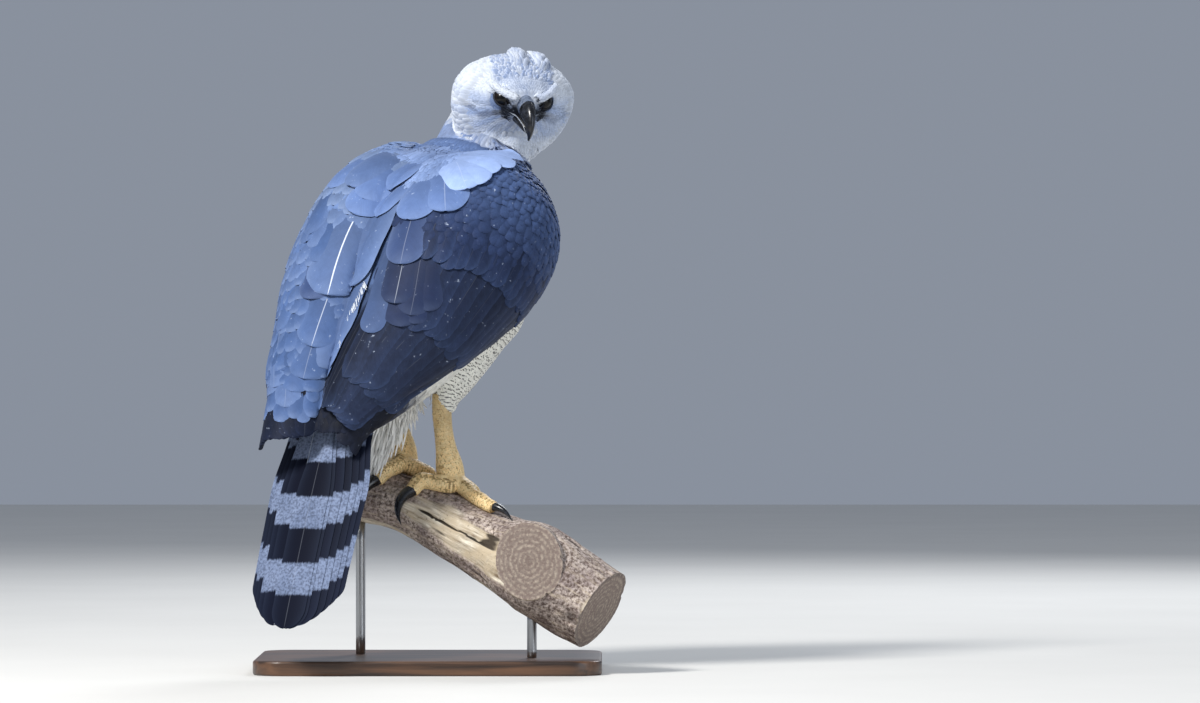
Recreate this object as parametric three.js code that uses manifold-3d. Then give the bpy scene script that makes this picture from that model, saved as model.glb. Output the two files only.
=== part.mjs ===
// A life-size harpy eagle that stands on a cut length of branch and looks back over its right shoulder.
// Millimetres, +Z up. The origin is the centre of the stand's underside. The bird's back is towards -Y.

import * as THREE from "three";
import { mergeVertices } from "three/addons/utils/BufferGeometryUtils.js";
import Module from "manifold-3d";

const wasm = await Module();
wasm.setup();

const { sin, cos, PI, min, max, abs, floor } = Math;
const TAU = 2 * PI;
const radians = THREE.MathUtils.degToRad;
const { clamp, lerp } = THREE.MathUtils;
const point = (x, y, z) => new THREE.Vector3(x, y, z);

// Driving sizes of the whole
const GAP = 0.4;
const SMOOTHING = 0.12;
const FEATHER_SMOOTHING = 0.5;
const HEAD_SMOOTHING = 0.45;
const HEADING = radians(36);
const FEET_X = -9;
const BASE = { width: 430, depth: 330, height: 18, corner: 40, bevel: 3 };
const ROD = { radius: 6, places: [-88, 128] };

// The bird's own directions, level: forward and to its right
const FORWARD = point(sin(HEADING), cos(HEADING), 0);
const RIGHT = point(cos(HEADING), -sin(HEADING), 0);

// A place given forward, right and up of the point on the floor between the feet
function bird(forward, right, up) {
  return point(FEET_X, 0, up).addScaledVector(FORWARD, forward).addScaledVector(RIGHT, right);
}

// The same pattern of variation each time: -1 to 1
function* shuffled(seed) {
  let state = seed;
  while (true) {
    state = (state * 16807) % 2147483647;
    yield (2 * state) / 2147483647 - 1;
  }
}
const drift = shuffled(4711);
const vary = (amount) => amount * drift.next().value;

// Surface finishes
const finish = (color, roughness) => new THREE.MeshStandardMaterial({ color, roughness, metalness: 0 });
const SLATE = finish("#5b6a85", 0.75);
const DARK_SLATE = finish("#2b3044", 0.7);
const BARRED = finish("#1b1e2b", 0.7);
const PALE_GREY = finish("#c9ced6", 0.85);
const WHITE_DOWN = finish("#e4e2d8", 0.9);
const YELLOW_SKIN = finish("#c39a4a", 0.6);
const BLACK_HORN = finish("#17171b", 0.3);
const GREY_CERE = finish("#33363c", 0.5);
const DARK_EYE = finish("#120d0b", 0.08);
const BARK = finish("#a38f74", 0.9);
const STAND_WOOD = finish("#4a3527", 0.5);
const STEEL = finish("#8d9095", 0.35);

// Closed meshes and solids

function geometryOf(vertices, index) {
  const geometry = new THREE.BufferGeometry();
  const flat = vertices.flatMap((v) => [v.x, v.y, v.z]);
  geometry.setAttribute("position", new THREE.Float32BufferAttribute(flat, 3));
  geometry.setIndex(index);
  return geometry;
}

// A geometry as a solid, turned so that its faces point out
function solid(geometry) {
  const bare = geometry.clone();
  bare.deleteAttribute("normal");
  bare.deleteAttribute("uv");
  const merged = mergeVertices(bare, 1e-4);
  const vertProperties = new Float32Array(merged.attributes.position.array);
  const triVerts = new Uint32Array(merged.index.array);
  const made = new wasm.Manifold(new wasm.Mesh({ numProp: 3, vertProperties, triVerts }));
  if (made.volume() >= 0) return made;
  for (let i = 0; i < triVerts.length; i += 3) {
    [triVerts[i + 1], triVerts[i + 2]] = [triVerts[i + 2], triVerts[i + 1]];
  }
  return new wasm.Manifold(new wasm.Mesh({ numProp: 3, vertProperties, triVerts }));
}

const join = (pieces) => wasm.Manifold.union(pieces.flat());
const cut = (body, tools) => body.subtract(join(tools));
const smoothed = (body, tolerance) => body.asOriginal().simplify(tolerance);

// Rings of points, all with one count, closed at both ends by fans
function shell(rings) {
  const around = rings[0].length;
  const vertices = rings.flat();
  const index = [];
  for (let i = 0; i + 1 < rings.length; i++) {
    for (let j = 0; j < around; j++) {
      const a = i * around + j;
      const b = i * around + ((j + 1) % around);
      index.push(a, b, b + around, a, b + around, a + around);
    }
  }
  [0, rings.length - 1].forEach((end) => {
    const middle = vertices.length;
    vertices.push(rings[end].reduce((sum, p) => sum.add(p), point(0, 0, 0)).divideScalar(around));
    for (let j = 0; j < around; j++) {
      const a = end * around + j;
      const b = end * around + ((j + 1) % around);
      if (end === 0) index.push(middle, b, a);
      else index.push(middle, a, b);
    }
  });
  return solid(geometryOf(vertices, index));
}

// A plate of rows and columns of cells between two surfaces, split alike on both faces
function plate(rows, columns, upper, lower) {
  const wide = columns + 1;
  const layer = (rows + 1) * wide;
  const vertices = [];
  [upper, lower].forEach((surface) => {
    for (let i = 0; i <= rows; i++) {
      for (let j = 0; j <= columns; j++) vertices.push(surface(i / rows, j / columns));
    }
  });
  const index = [];
  const quad = (a, b, c, d) => index.push(a, b, c, a, c, d);
  for (let i = 0; i < rows; i++) {
    for (let j = 0; j < columns; j++) {
      const a = i * wide + j;
      index.push(a, a + wide, a + wide + 1, a, a + wide + 1, a + 1);
      const b = a + layer;
      index.push(b, b + wide + 1, b + wide, b, b + 1, b + wide + 1);
    }
    const left = i * wide;
    const right = left + columns;
    quad(left, left + layer, left + layer + wide, left + wide);
    quad(right, right + wide, right + wide + layer, right + layer);
  }
  for (let j = 0; j < columns; j++) {
    const last = rows * wide + j;
    quad(j, j + 1, j + 1 + layer, j + layer);
    quad(last, last + layer, last + layer + 1, last + 1);
  }
  return solid(geometryOf(vertices, index));
}

// Smooth value at t, counted in steps, through evenly spaced values
function along(values, t) {
  const last = values.length - 1;
  const place = clamp(t, 0, last);
  const i = min(floor(place), last - 1);
  const s = place - i;
  const [b, c] = [values[i], values[i + 1]];
  const a = i > 0 ? values[i - 1] : 2 * b - c;
  const d = i + 2 <= last ? values[i + 2] : 2 * c - b;
  return b + 0.5 * s * (c - a + s * (2 * a - 5 * b + 4 * c - d + s * (3 * (b - c) + d - a)));
}
const share = (values, u) => along(values, u * (values.length - 1));

// A smooth body form: oval sections along a bent line. Each station holds its centre, half width, height above
// the line and depth below it. A place on it is t, counted in stations, an angle from its top, and a height.
class Form {
  constructor(stations, side) {
    this.last = stations.length - 1;
    this.columns = [0, 1, 2].map((k) => stations.map((s) => s[0].getComponent(k)));
    this.columns.push(...[1, 2, 3].map((k) => stations.map((s) => s[k])));
    this.side = side;
  }

  middle(t) {
    return point(...this.columns.slice(0, 3).map((column) => along(column, t)));
  }

  axes(t) {
    const step = 0.03;
    const tangent = this.middle(t + step).sub(this.middle(t - step)).normalize();
    const top = tangent.clone().cross(this.side).normalize();
    return { tangent, top, side: top.clone().cross(tangent) };
  }

  onSurface(t, angle) {
    const { top, side } = this.axes(t);
    const [half, above, below] = this.columns.slice(3).map((column) => along(column, t));
    const rise = cos(angle) > 0 ? above : below;
    return this.middle(t).addScaledVector(side, half * sin(angle)).addScaledVector(top, rise * cos(angle));
  }

  outward(t, angle) {
    const [dt, da] = [0.03, 0.02];
    const [before, after] = [max(0, t - dt), min(this.last, t + dt)];
    const lengthways = this.onSurface(after, angle).sub(this.onSurface(before, angle));
    const round = this.onSurface(t, angle + da).sub(this.onSurface(t, angle - da));
    return lengthways.cross(round).normalize();
  }

  at(t, angle, height = 0) {
    const place = this.onSurface(t, angle);
    return height === 0 ? place : place.addScaledVector(this.outward(t, angle), height);
  }

  // The solid between two places along it, grown by a height
  body(from, to, rows, around, grow = 0) {
    const rings = [];
    for (let i = 0; i <= rows; i++) {
      const t = lerp(from, to, i / rows);
      rings.push(Array.from({ length: around }, (_, j) => this.at(t, (TAU * j) / around, grow)));
    }
    if (grow > 0) {
      rings[0].forEach((p) => p.addScaledVector(this.axes(from).tangent, -grow));
      rings[rows].forEach((p) => p.addScaledVector(this.axes(to).tangent, grow));
    }
    return shell(rings);
  }
}

// A round, bent body along points, its radius given by how far along and the direction round it
function tube(points, steps, sides, radius, across, grow = 0) {
  const curve = new THREE.CatmullRomCurve3(points);
  const rings = Array.from({ length: steps + 1 }, (_, i) => {
    const u = i / steps;
    const tangent = curve.getTangentAt(u);
    const top = across.clone().cross(tangent).normalize();
    const side = tangent.clone().cross(top);
    const centre = curve.getPointAt(u);
    if (grow > 0 && (i === 0 || i === steps)) centre.addScaledVector(tangent, i === 0 ? -grow : grow);
    return Array.from({ length: sides }, (_, j) => {
      const angle = (TAU * j) / sides;
      const r = radius(u, angle, i) + grow;
      return centre.clone().addScaledVector(top, r * cos(angle)).addScaledVector(side, r * sin(angle));
    });
  });
  return shell(rings);
}

// A ball, or an egg shape with its own three half sizes and directions
function egg(centre, sizes, axes = [point(1, 0, 0), point(0, 1, 0), point(0, 0, 1)], wide = 16) {
  const basis = new THREE.Matrix4().makeBasis(...axes.map((axis, i) => axis.clone().multiplyScalar(sizes[i])));
  return solid(new THREE.SphereGeometry(1, wide, Math.round(wide * 0.7)).applyMatrix4(basis.setPosition(centre)));
}
const ball = (radius, centre, wide) => egg(centre, [radius, radius, radius], undefined, wide);

// Feather outlines: shares of the full width at even steps from root to tip
const OUTLINES = {
  broad: [0.5, 0.94, 1, 0.4],
  covert: [0.55, 1, 0.42],
  quill: [0.5, 0.9, 1, 0.94, 0.34],
  long: [0.5, 0.8, 1, 1, 0.92, 0.3],
};

// A feather's blade laid by place(x, y, h): x along it, y across it, h above what it lies on. Its upper face
// goes from root height to tip height, and it is thick at the root and thin at the tip.
function blade({ outline, length, width, root, tip, thick, edge = 0.8, grow = 0 }, place) {
  const shares = OUTLINES[outline];
  const rows = shares.length - 1;
  const face = (lower) => (u, v) => {
    const half = (width / 2) * shares[Math.round(u * rows)] + grow;
    const across = 2 * v - 1;
    const reach = length * u * (1 - 0.08 * u * across * across) + (u === 0 ? -grow : u === 1 ? grow : 0);
    const drop = lower ? lerp(thick, edge, u) + grow : -grow;
    return place(reach, across * half, lerp(root, tip, u) + 0.05 * width * (1 - across * across) - drop);
  };
  return plate(rows, 2, face(false), face(true));
}

// Lays x and y on a surface from a root place, turned from its lengthwise direction
function lie(surface, t, angle, turn) {
  const step = 0.06;
  return (x, y, h) => {
    let [a, b] = [t, angle];
    const walk = (along, across) => {
      const here = surface(a, b, 0);
      const perT = surface(a + step, b, 0).distanceTo(here) / step;
      const perAngle = surface(a, b + step, 0).distanceTo(here) / step;
      a += (along * cos(turn) - across * sin(turn)) / perT;
      b += (along * sin(turn) + across * cos(turn)) / perAngle;
    };
    for (let i = 0; i < 3; i++) walk(x / 3, 0);
    walk(0, y);
    return surface(a, b, h);
  };
}

// The trunk: stations forward, right and up, then half width, height above and depth below
const station = ([forward, right, up, ...size]) => [bird(forward, right, up), ...size];
const TRUNK = {
  neckBase: [88, 18, 646, 72, 52, 66],
  shoulder: [62, 9, 598, 108, 80, 98],
  chest: [23, 2, 544, 130, 99, 118],
  middle: [-27, -2, 475, 124, 98, 112],
  belly: [-74, -6, 406, 104, 80, 88],
  rump: [-121, -14, 347, 74, 54, 56],
  tailRoot: [-150, -21, 308, 48, 32, 34],
  pastTail: [-172, -24, 262, 40, 22, 24],
  farPastTail: [-190, -26, 214, 40, 18, 24],
};
const trunk = new Form(Object.values(TRUNK).map(station), RIGHT);
const TRUNK_END = 6;
const trunkBody = (grow) => trunk.body(0, TRUNK_END, 12, 22, grow);

// The neck, bent up and to the right towards the head
const NECK = [
  [trunk.middle(0.25), 68, 60, 46],
  [point(68, 68, 664), 67, 62, 48],
  [point(86, 64, 690), 61, 56, 44],
  [point(98, 58, 714), 54, 50, 40],
];
const neckForm = new Form(NECK, RIGHT);
const neckBody = (grow) => neckForm.body(0, 3, 6, 20, grow);

// The head looks back: its own directions are out of the face, to its left and out of the crown
const HEAD_AT = point(106, 34, 717);
const HEAD_TURN = radians(18);
const HEAD_DROP = radians(24);
const HEAD_TILT = radians(-4);
const faceOut = point(sin(HEAD_TURN) * cos(HEAD_DROP), -cos(HEAD_TURN) * cos(HEAD_DROP), -sin(HEAD_DROP));
const faceLeft = point(cos(HEAD_TURN), sin(HEAD_TURN), 0).applyAxisAngle(faceOut, HEAD_TILT);
const crownOut = faceOut.clone().cross(faceLeft);

function head(out, left, up) {
  return HEAD_AT.clone()
    .addScaledVector(faceOut, out)
    .addScaledVector(faceLeft, left)
    .addScaledVector(crownOut, up);
}
const onHead = ([out, up, ...size]) => [head(out, 0, up), ...size];

// Head stations: out along the face, up, then half width, height above and depth below
const HEAD = [
  [-72, 6, 4, 4, 4],
  [-64, 4, 38, 28, 40],
  [-44, 1, 64, 44, 68],
  [-20, -1, 79, 52, 84],
  [2, -2, 80, 52, 86],
  [18, -1, 66, 45, 72],
  [29, 0, 48, 37, 50],
  [38, 0, 31, 28, 32],
  [46, 0, 13, 14, 15],
];
const headForm = new Form(HEAD.map(onHead), faceLeft);
const headBody = (grow) => headForm.body(0, 8, 13, 24, grow);

const EYE = { out: 27, left: 26, up: 8, radius: 12.5, outward: radians(40) };
const eyeAt = (hand) => head(EYE.out, hand * EYE.left, EYE.up);
const gaze = (hand) =>
  faceOut.clone().multiplyScalar(cos(EYE.outward)).addScaledVector(faceLeft, hand * sin(EYE.outward));

// The hollow round an eye, its lids and the ridge of the brow. A hand is 1 on the bird's left, -1 on its right.
function orbit(hand) {
  const out = gaze(hand);
  const across = crownOut.clone().cross(out).normalize();
  return egg(eyeAt(hand).addScaledVector(out, 16), [22, 16, 10], [across, crownOut, out], 14);
}

function lids(hand) {
  const out = gaze(hand);
  const ring = new THREE.TorusGeometry(11.2, 2.6, 6, 16).applyQuaternion(
    new THREE.Quaternion().setFromUnitVectors(point(0, 0, 1), out),
  );
  const at = eyeAt(hand).addScaledVector(out, 5.5);
  return solid(ring.translate(at.x, at.y, at.z));
}

function brow(hand) {
  const line = [[43, 18, 21], [36, 29, 26], [26, 40, 29], [12, 50, 31]];
  const places = line.map(([out, left, up]) => head(out, hand * left, up));
  return tube(places, 5, 8, (u) => 7 * (1 - 0.35 * u) * (0.6 + 0.4 * sin(PI * min(1, u + 0.25))), crownOut);
}

// The bill: the horn and the cere behind it share one hooked form, and the lower bill closes under it
const BILL = [
  [30, 7, 19, 13, 13],
  [43, 7.5, 17, 12.5, 12],
  [54, 5, 13, 12, 12],
  [63, 0.5, 10, 11, 10],
  [70, -8, 7.5, 9, 7.5],
  [74, -17, 5, 5.5, 5],
  [75, -25, 2.5, 2.5, 2.5],
  [74, -30, 0.8, 0.8, 0.8],
];
const LOWER_BILL = [
  [28, -13, 17, 8, 8],
  [42, -12.5, 14, 8, 8],
  [53, -15, 10, 7, 7],
  [61, -19, 6, 5, 5],
  [66, -23, 1.6, 1.5, 1.5],
];
const billForm = new Form(BILL.map(onHead), faceLeft);
const lowerBillForm = new Form(LOWER_BILL.map(onHead), faceLeft);
const CERE_END = 1.75;
const nostril = (hand) =>
  egg(head(47, hand * 15, 11), [6, 2, 4.5], [
    faceOut.clone().addScaledVector(crownOut, 0.5).normalize(),
    crownOut.clone().addScaledVector(faceOut, -0.5).normalize(),
    faceLeft,
  ], 10);

// The mouth line runs back from the bill to below the eye
function mouthLine(hand) {
  const line = [[50, 14, -6], [42, 22.5, -5], [34, 28, -6], [27, 33, -9]];
  const places = line.map(([out, left, up]) => head(out, hand * left, up));
  return tube(places, 5, 8, () => 1.5, crownOut);
}

// Feathers of the head, laid on its form and pointing back
const BACKWARD = PI;
function headFeathers(grow = 0) {
  const surface = (t, angle, height) => headForm.at(t, angle, height);
  const ruff = Array.from({ length: 13 }, (_, i) => {
    const angle = radians(-114 + 19 * i + vary(2));
    const size = { outline: "covert", length: 38 + vary(4), width: 30, root: -2.5, tip: 4 + vary(1), thick: 5, grow };
    return blade(size, lie(surface, 4.5 + vary(0.06), angle, BACKWARD + radians(vary(5))));
  });
  const crest = [-50, -25, 0, 25, 50].map((degrees, i) => {
    const tuft = i % 2 === 0 ? 1 : 0.82;
    const size = { outline: "broad", length: 64 * tuft, width: 30, root: -2.5, tip: 9 * tuft + vary(1), thick: 6, grow };
    return blade({ ...size, edge: 1.2 }, lie(surface, 3.3 + 0.25 * (i % 2), radians(degrees), BACKWARD));
  });
  return [...ruff, ...crest];
}

// Wings: a thick core on each flank, then tiers of feathers. Angles are degrees from the back's middle line.
const WING = {
  from: 0.42,
  to: 5.9,
  upper: [28, 9, 3, 1.5, 1.5, 1.5, 1.5],
  lower: [92, 126, 130, 122, 104, 86, 68],
  bulge: [0.35, 0.85, 1, 1, 0.8, 0.55, 0.3],
  rim: 3,
  thick: 36,
};
const LEFT_SPREAD = [-4, -9, -8, 0, 14, 29, 36];
const RIGHT_SPREAD = [6, 12, 12, 9, 5, 0, 0];

function wingHeight(t, angle) {
  const u = clamp((t - WING.from) / (WING.to - WING.from), 0, 1);
  const degrees = THREE.MathUtils.radToDeg(abs(angle));
  const [upper, lower] = [share(WING.upper, u), share(WING.lower, u)];
  const v = clamp((degrees - upper) / (lower - upper), 0, 1);
  const spread = share(angle < 0 ? LEFT_SPREAD : RIGHT_SPREAD, u) * sin(0.5 * PI * v);
  return WING.rim + WING.thick * share(WING.bulge, u) * sin(PI * v) ** 0.7 + spread;
}

const wingSurface = (t, angle, height) => trunk.at(t, angle, wingHeight(t, angle) + height);

function wingCore(side) {
  const place = (u, v, outer) => {
    const t = lerp(WING.from, WING.to, u);
    const angle = side * radians(lerp(share(WING.upper, u), share(WING.lower, u), v));
    return outer ? wingSurface(t, angle, 0) : trunk.at(t, angle, -3);
  };
  return plate(8, 6, (u, v) => place(u, v, true), (u, v) => place(u, v, false));
}

// Tiers of wing feathers: where their roots lie, how many, and the size of each
const TIERS = [
  { t: 4.4, from: 26, to: 76, count: 5, length: 156, width: 40, outline: "quill", tip: 3, turn: -5, thick: 8 },
  { t: 3.35, from: 22, to: 104, count: 6, length: 150, width: 46, outline: "quill", tip: 4, turn: -8, thick: 9 },
  { t: 2.5, from: 28, to: 114, count: 6, length: 100, width: 50, outline: "covert", tip: 4, turn: -6, thick: 9 },
  { t: 1.65, from: 34, to: 118, count: 6, length: 84, width: 48, outline: "covert", tip: 4, turn: -4, thick: 9 },
  { t: 0.9, from: 46, to: 112, count: 5, length: 66, width: 46, outline: "covert", tip: 4, turn: 0, thick: 9 },
];
const SCAPULARS = [
  { t: 3.3, from: 14, to: 26, count: 2, length: 108, width: 52, outline: "broad", tip: 6, turn: 0, thick: 9 },
  { t: 2.35, from: 14, to: 34, count: 2, length: 104, width: 62, outline: "broad", tip: 8, turn: 3, thick: 11 },
  { t: 1.4, from: 14, to: 38, count: 2, length: 98, width: 64, outline: "broad", tip: 9, turn: 7, thick: 12 },
  { t: 0.6, from: 22, to: 52, count: 2, length: 84, width: 60, outline: "broad", tip: 10, turn: 12, thick: 12 },
];

function tierOf(side, tier) {
  return Array.from({ length: tier.count }, (_, i) => {
    const place = tier.count > 1 ? i / (tier.count - 1) : 0;
    const angle = side * radians(lerp(tier.from, tier.to, place) + vary(1));
    const reach = side < 0 && tier.outline === "quill" ? 1.17 : 1;
    const length = tier.length * reach * (1 - 0.14 * place) * (1 + vary(0.04));
    const size = { ...tier, root: -2, length };
    return blade(size, lie(wingSurface, tier.t + vary(0.05), angle, side * radians(tier.turn + vary(2))));
  });
}

// Tail: quills fanned from one root
const TAIL = {
  root: trunk.middle(TRUNK_END),
  tip: point(-166, -215, 66),
  yaw: radians(25),
  quills: 12,
  length: 268,
  width: 50,
  splay: radians(0.35),
  spread: 7.9,
  shift: -10,
  sink: 1.7,
};
const tailDown = TAIL.tip.clone().sub(TAIL.root).normalize();
const tailSide = point(cos(TAIL.yaw), -sin(TAIL.yaw), 0).projectOnPlane(tailDown).normalize();
const tailTop = tailDown.clone().cross(tailSide);

function tail(down, across, up) {
  return TAIL.root
    .clone()
    .addScaledVector(tailDown, down)
    .addScaledVector(tailSide, across)
    .addScaledVector(tailTop, up);
}

function tailQuill(i, grow) {
  const place = i - (TAIL.quills - 1) / 2;
  const splay = place * TAIL.splay;
  const length = TAIL.length * (1 - 0.004 * place * place);
  const size = { outline: "quill", length, width: TAIL.width, thick: 2.2, edge: 1, root: 0, tip: 0, grow };
  return blade(size, (x, y, h) => {
    const down = 6 + x * cos(splay) - y * sin(splay);
    const across = TAIL.shift + place * TAIL.spread + x * sin(splay) + y * cos(splay);
    return tail(down, across, h + 5 - abs(place) * TAIL.sink - (across * across) / 500 - (x * x) / 8000);
  });
}

function tailBody(grow = 0) {
  const core = new Form(
    [
      [tail(0.5, 0, 0), 44, 27, 29],
      [tail(24, -4, 0), 42, 16, 20],
      [tail(52, -6, 0), 38, 8, 12],
      [tail(88, -7, 0), 28, 3, 5],
    ],
    tailSide,
  );
  const quills = Array.from({ length: TAIL.quills }, (_, i) => tailQuill(i, grow));
  return join([core.body(0, 3, 4, 14, grow), ...quills]);
}

// The perch: a cut length of branch with the stub of a sawn limb
const BRANCH = [
  [-119, 222, 34],
  [-80, 218, 36],
  [-38, 210, 36],
  [4, 193, 38],
  [42, 173, 41],
  [84, 152, 46],
  [136, 125, 54],
  [176, 101, 55],
  [212, 79, 52],
];
const BRANCH_YAW = 0.466;
const branchMiddle = (x, z) => point(x, -4 - BRANCH_YAW * x, z);
const farSide = point(BRANCH_YAW, 1, 0).normalize();
const branchForm = new Form(BRANCH.map(([x, z, r]) => [branchMiddle(x, z), r, r, r]), farSide);
const STUB = { at: [138, 131], radius: 46, reach: 66, out: point(-0.2, -1, 0.12).normalize() };

function branchBody(grow = 0) {
  const limb = branchForm.body(0, 8, 10, 18, grow);
  const middle = branchMiddle(...STUB.at);
  const places = [0, 0.5, 1].map((u) => middle.clone().addScaledVector(STUB.out, u * STUB.reach));
  return join([limb, tube(places, 2, 16, () => STUB.radius, point(1, 0, 0), grow)]);
}

// Legs: the feathered thigh, then the bare shank. The bird's left foot stands higher up the branch.
const FEET = { 1: { t: 3.52, lift: 0 }, [-1]: { t: 1.86, lift: 22 } };
const legStation = (side) => ([forward, right, up, ...size]) =>
  station([forward, side * right, up + FEET[side].lift, ...size]);
const THIGH = [
  [44, 40, 506, 34, 34, 36],
  [48, 56, 462, 60, 56, 60],
  [34, 50, 420, 47, 46, 48],
  [14, 44, 378, 33, 33, 36],
  [-4, 40, 344, 21, 22, 26],
  [-6, 38, 322, 15.5, 15.5, 17.5],
];
const SHANK = [
  [-10, 37.5, 346, 12, 12, 13],
  [-9, 37.3, 316, 12, 12.5, 14],
  [-3, 37, 286, 11.5, 12, 13.5],
  [4, 37, 262, 13, 13, 14.5],
  [9, 37, 244, 17, 16, 17],
  [11, 37, 232, 17, 17, 17],
];
const thighForm = (side) => new Form(THIGH.map(legStation(side)), RIGHT);

// Long plumes that hang from the back of a thigh, over the top of the shank. Angles are degrees from the
// back, growing towards the bird's right.
const PLUMES = {
  1: { t: 3.1, angles: [-58, -18, 22, 62], length: 66, swing: 0, lean: 0.1 },
  [-1]: { t: 3.2, angles: [-34, -2, 30, 62, 94], length: 148, swing: -0.17, lean: 0.02 },
  width: 34,
  root: -3,
  tip: 3,
  thick: 6,
};

function thighBody(side) {
  const form = thighForm(side);
  const { t, angles, length, swing, lean } = PLUMES[side];
  const plumes = angles.map((degrees, i) => {
    const [row, angle] = [t - 0.3 * (i % 2), radians(degrees)];
    const out = form.outward(row, angle).setZ(0).normalize();
    const across = point(0, 0, 1).cross(out);
    const size = { ...PLUMES, outline: "covert", length: length * (1 - 0.1 * (i % 2)) + vary(4) };
    return blade(size, (x, y, h) =>
      form
        .at(row, angle, 0)
        .addScaledVector(out, h - lean * x)
        .addScaledVector(across, y)
        .add(point(swing * x, 0, -x)),
    );
  });
  const clear = cut(smoothed(join(plumes), FEATHER_SMOOTHING), legRoom(side));
  return join([form.body(0, 5, 8, 16), clear]);
}

// Plates of skin across the front of a shank or the top of a toe, one step to each pair of rings
const scutes = (radius, raised) => (u, angle, ring) => radius(u) * (cos(angle) > -0.1 && ring % 2 === 0 ? raised : 1);

function shankBody(side, grow = 0) {
  const places = SHANK.map((row) => legStation(side)(row)[0]);
  const radius = (u) => share(SHANK.map((row) => row[3] + 1), u);
  return tube(places, 9, 12, scutes(radius, 1.06), RIGHT.clone().multiplyScalar(-1), grow);
}

// Toes lie on the branch: each is a line of places along and round it, then its claw's line of places
const TOES = {
  1: [
    { name: "hallux", line: [[3.24, -12], [2.64, -32], [2.56, -60]], radius: [11, 9.5], claw: "hook" },
    { name: "inner", line: [[3.5, 10], [3.3, 38], [3.2, 68]], radius: [11, 9], claw: "medium" },
    { name: "middle", line: [[3.6, 10], [3.65, 44], [3.7, 82]], radius: [10.5, 8.5], claw: "short" },
    { name: "outer", line: [[3.7, -4], [4.2, -14], [4.72, -19]], radius: [10.5, 8.5], claw: "side" },
  ],
  [-1]: [
    { name: "hallux", line: [[1.84, -12], [1.72, -36], [1.6, -60]], radius: [11, 9.5], claw: "long" },
    { name: "inner", line: [[1.98, 4], [2.3, 20], [2.5, 52]], radius: [11, 9], claw: "short" },
    { name: "middle", line: [[1.86, 10], [1.8, 44], [1.78, 82]], radius: [10.5, 8.5], claw: "short" },
    { name: "outer", line: [[1.72, 8], [1.3, 30], [1.0, 56]], radius: [10.5, 8.5], claw: "short" },
  ],
};
const onBranch = (t, degrees, height) => branchForm.at(t, radians(degrees), height);
const REST = 0.4;

function toeLine(side, toe) {
  const start = legStation(side)(SHANK[4])[0];
  const knuckles = toe.line.map(([t, degrees], i) => onBranch(t, degrees, lerp(...toe.radius, i / 2) + REST));
  return [start, ...knuckles];
}

function toeBody(side, toe, grow = 0) {
  const line = toeLine(side, toe);
  const across = line[3].clone().sub(line[0]).cross(onBranch(...toe.line[1], 40).sub(onBranch(...toe.line[1], 0)));
  const radius = (u) => lerp(toe.radius[0], toe.radius[1], u) * (u > 0.97 ? 0.72 : 1);
  return tube(line, 9, 8, scutes(radius, 1.08), across.normalize().negate(), grow);
}

const legRoom = (side) => [shankBody(side, GAP), ...TOES[side].map((toe) => toeBody(side, toe, GAP))];

// Claws: a hook from the toe's end, bent down towards the branch, or aside by an angle round the toe
const CLAWS = {
  long: { reach: 74, bend: 1.5, radius: 8.2 },
  hook: { reach: 63, bend: 1.5, radius: 8.2, lift: 0.3, aside: -1.1 },
  medium: { reach: 50, bend: 1.25, radius: 7 },
  short: { reach: 40, bend: 1.1, radius: 6.2 },
  side: { reach: 36, bend: 1.15, radius: 6 },
};

function clawBody(side, toe, grow = 0) {
  const { reach, bend, radius, lift = 0.35, aside = 0 } = CLAWS[toe.claw];
  const line = toeLine(side, toe);
  const ahead = line[3].clone().sub(line[2]).normalize();
  const out = branchForm.outward(toe.line[2][0], radians(toe.line[2][1]));
  const axis = ahead.clone().cross(out).normalize();
  const places = [line[3].clone().addScaledVector(ahead, -4)];
  const heading = ahead.clone().applyAxisAngle(axis, lift);
  const hinge = axis.clone().applyAxisAngle(ahead, -aside);
  for (let i = 0; i < 5; i++) {
    places.push(places.at(-1).clone().addScaledVector(heading, reach / 5));
    heading.applyAxisAngle(hinge, -bend / 5);
  }
  const taper = (u) => radius * max(0.06, 1 - u ** 1.4);
  return tube(places, 6, 8, taper, axis, grow);
}

const root = new THREE.Group();

// Adds one node: the largest closed body of what is left, with its slivers gone
function add(name, body, material) {
  const whole = smoothed(body, SMOOTHING).decompose().sort((a, b) => b.volume() - a.volume())[0];
  const mesh = whole.getMesh();
  const flat = new Float32Array(mesh.numVert * 3);
  for (let i = 0; i < mesh.numVert; i++) {
    flat.set(mesh.vertProperties.subarray(i * mesh.numProp, i * mesh.numProp + 3), i * 3);
  }
  const geometry = new THREE.BufferGeometry();
  geometry.setAttribute("position", new THREE.BufferAttribute(flat, 3));
  geometry.setIndex(new THREE.BufferAttribute(mesh.triVerts, 1));
  const piece = new THREE.Mesh(geometry, material);
  piece.name = name;
  root.add(piece);
}

// Grown copies that later pieces are cut clear of
const trunkRoom = trunkBody(GAP);
const neckRoom = neckBody(GAP);
const headRoom = headBody(GAP);
const tailRoom = tailBody(GAP);
const branchRoom = branchBody(GAP);
const thighRoom = { 1: thighForm(1).body(0, 5, 8, 16, GAP), [-1]: thighForm(-1).body(0, 5, 8, 16, GAP) };
const billRoom = billForm.body(0, 7, 12, 16, GAP);
const lowerBillRoom = lowerBillForm.body(0, 4, 6, 14, GAP);
const midline = solid(
  new THREE.BoxGeometry(0.6, 900, 1600).rotateZ(-HEADING).translate(...trunk.middle(3).toArray()),
);

add("torso", trunkBody(0), SLATE);
add("neck", cut(neckBody(0), [trunkRoom, headRoom]), SLATE);

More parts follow.
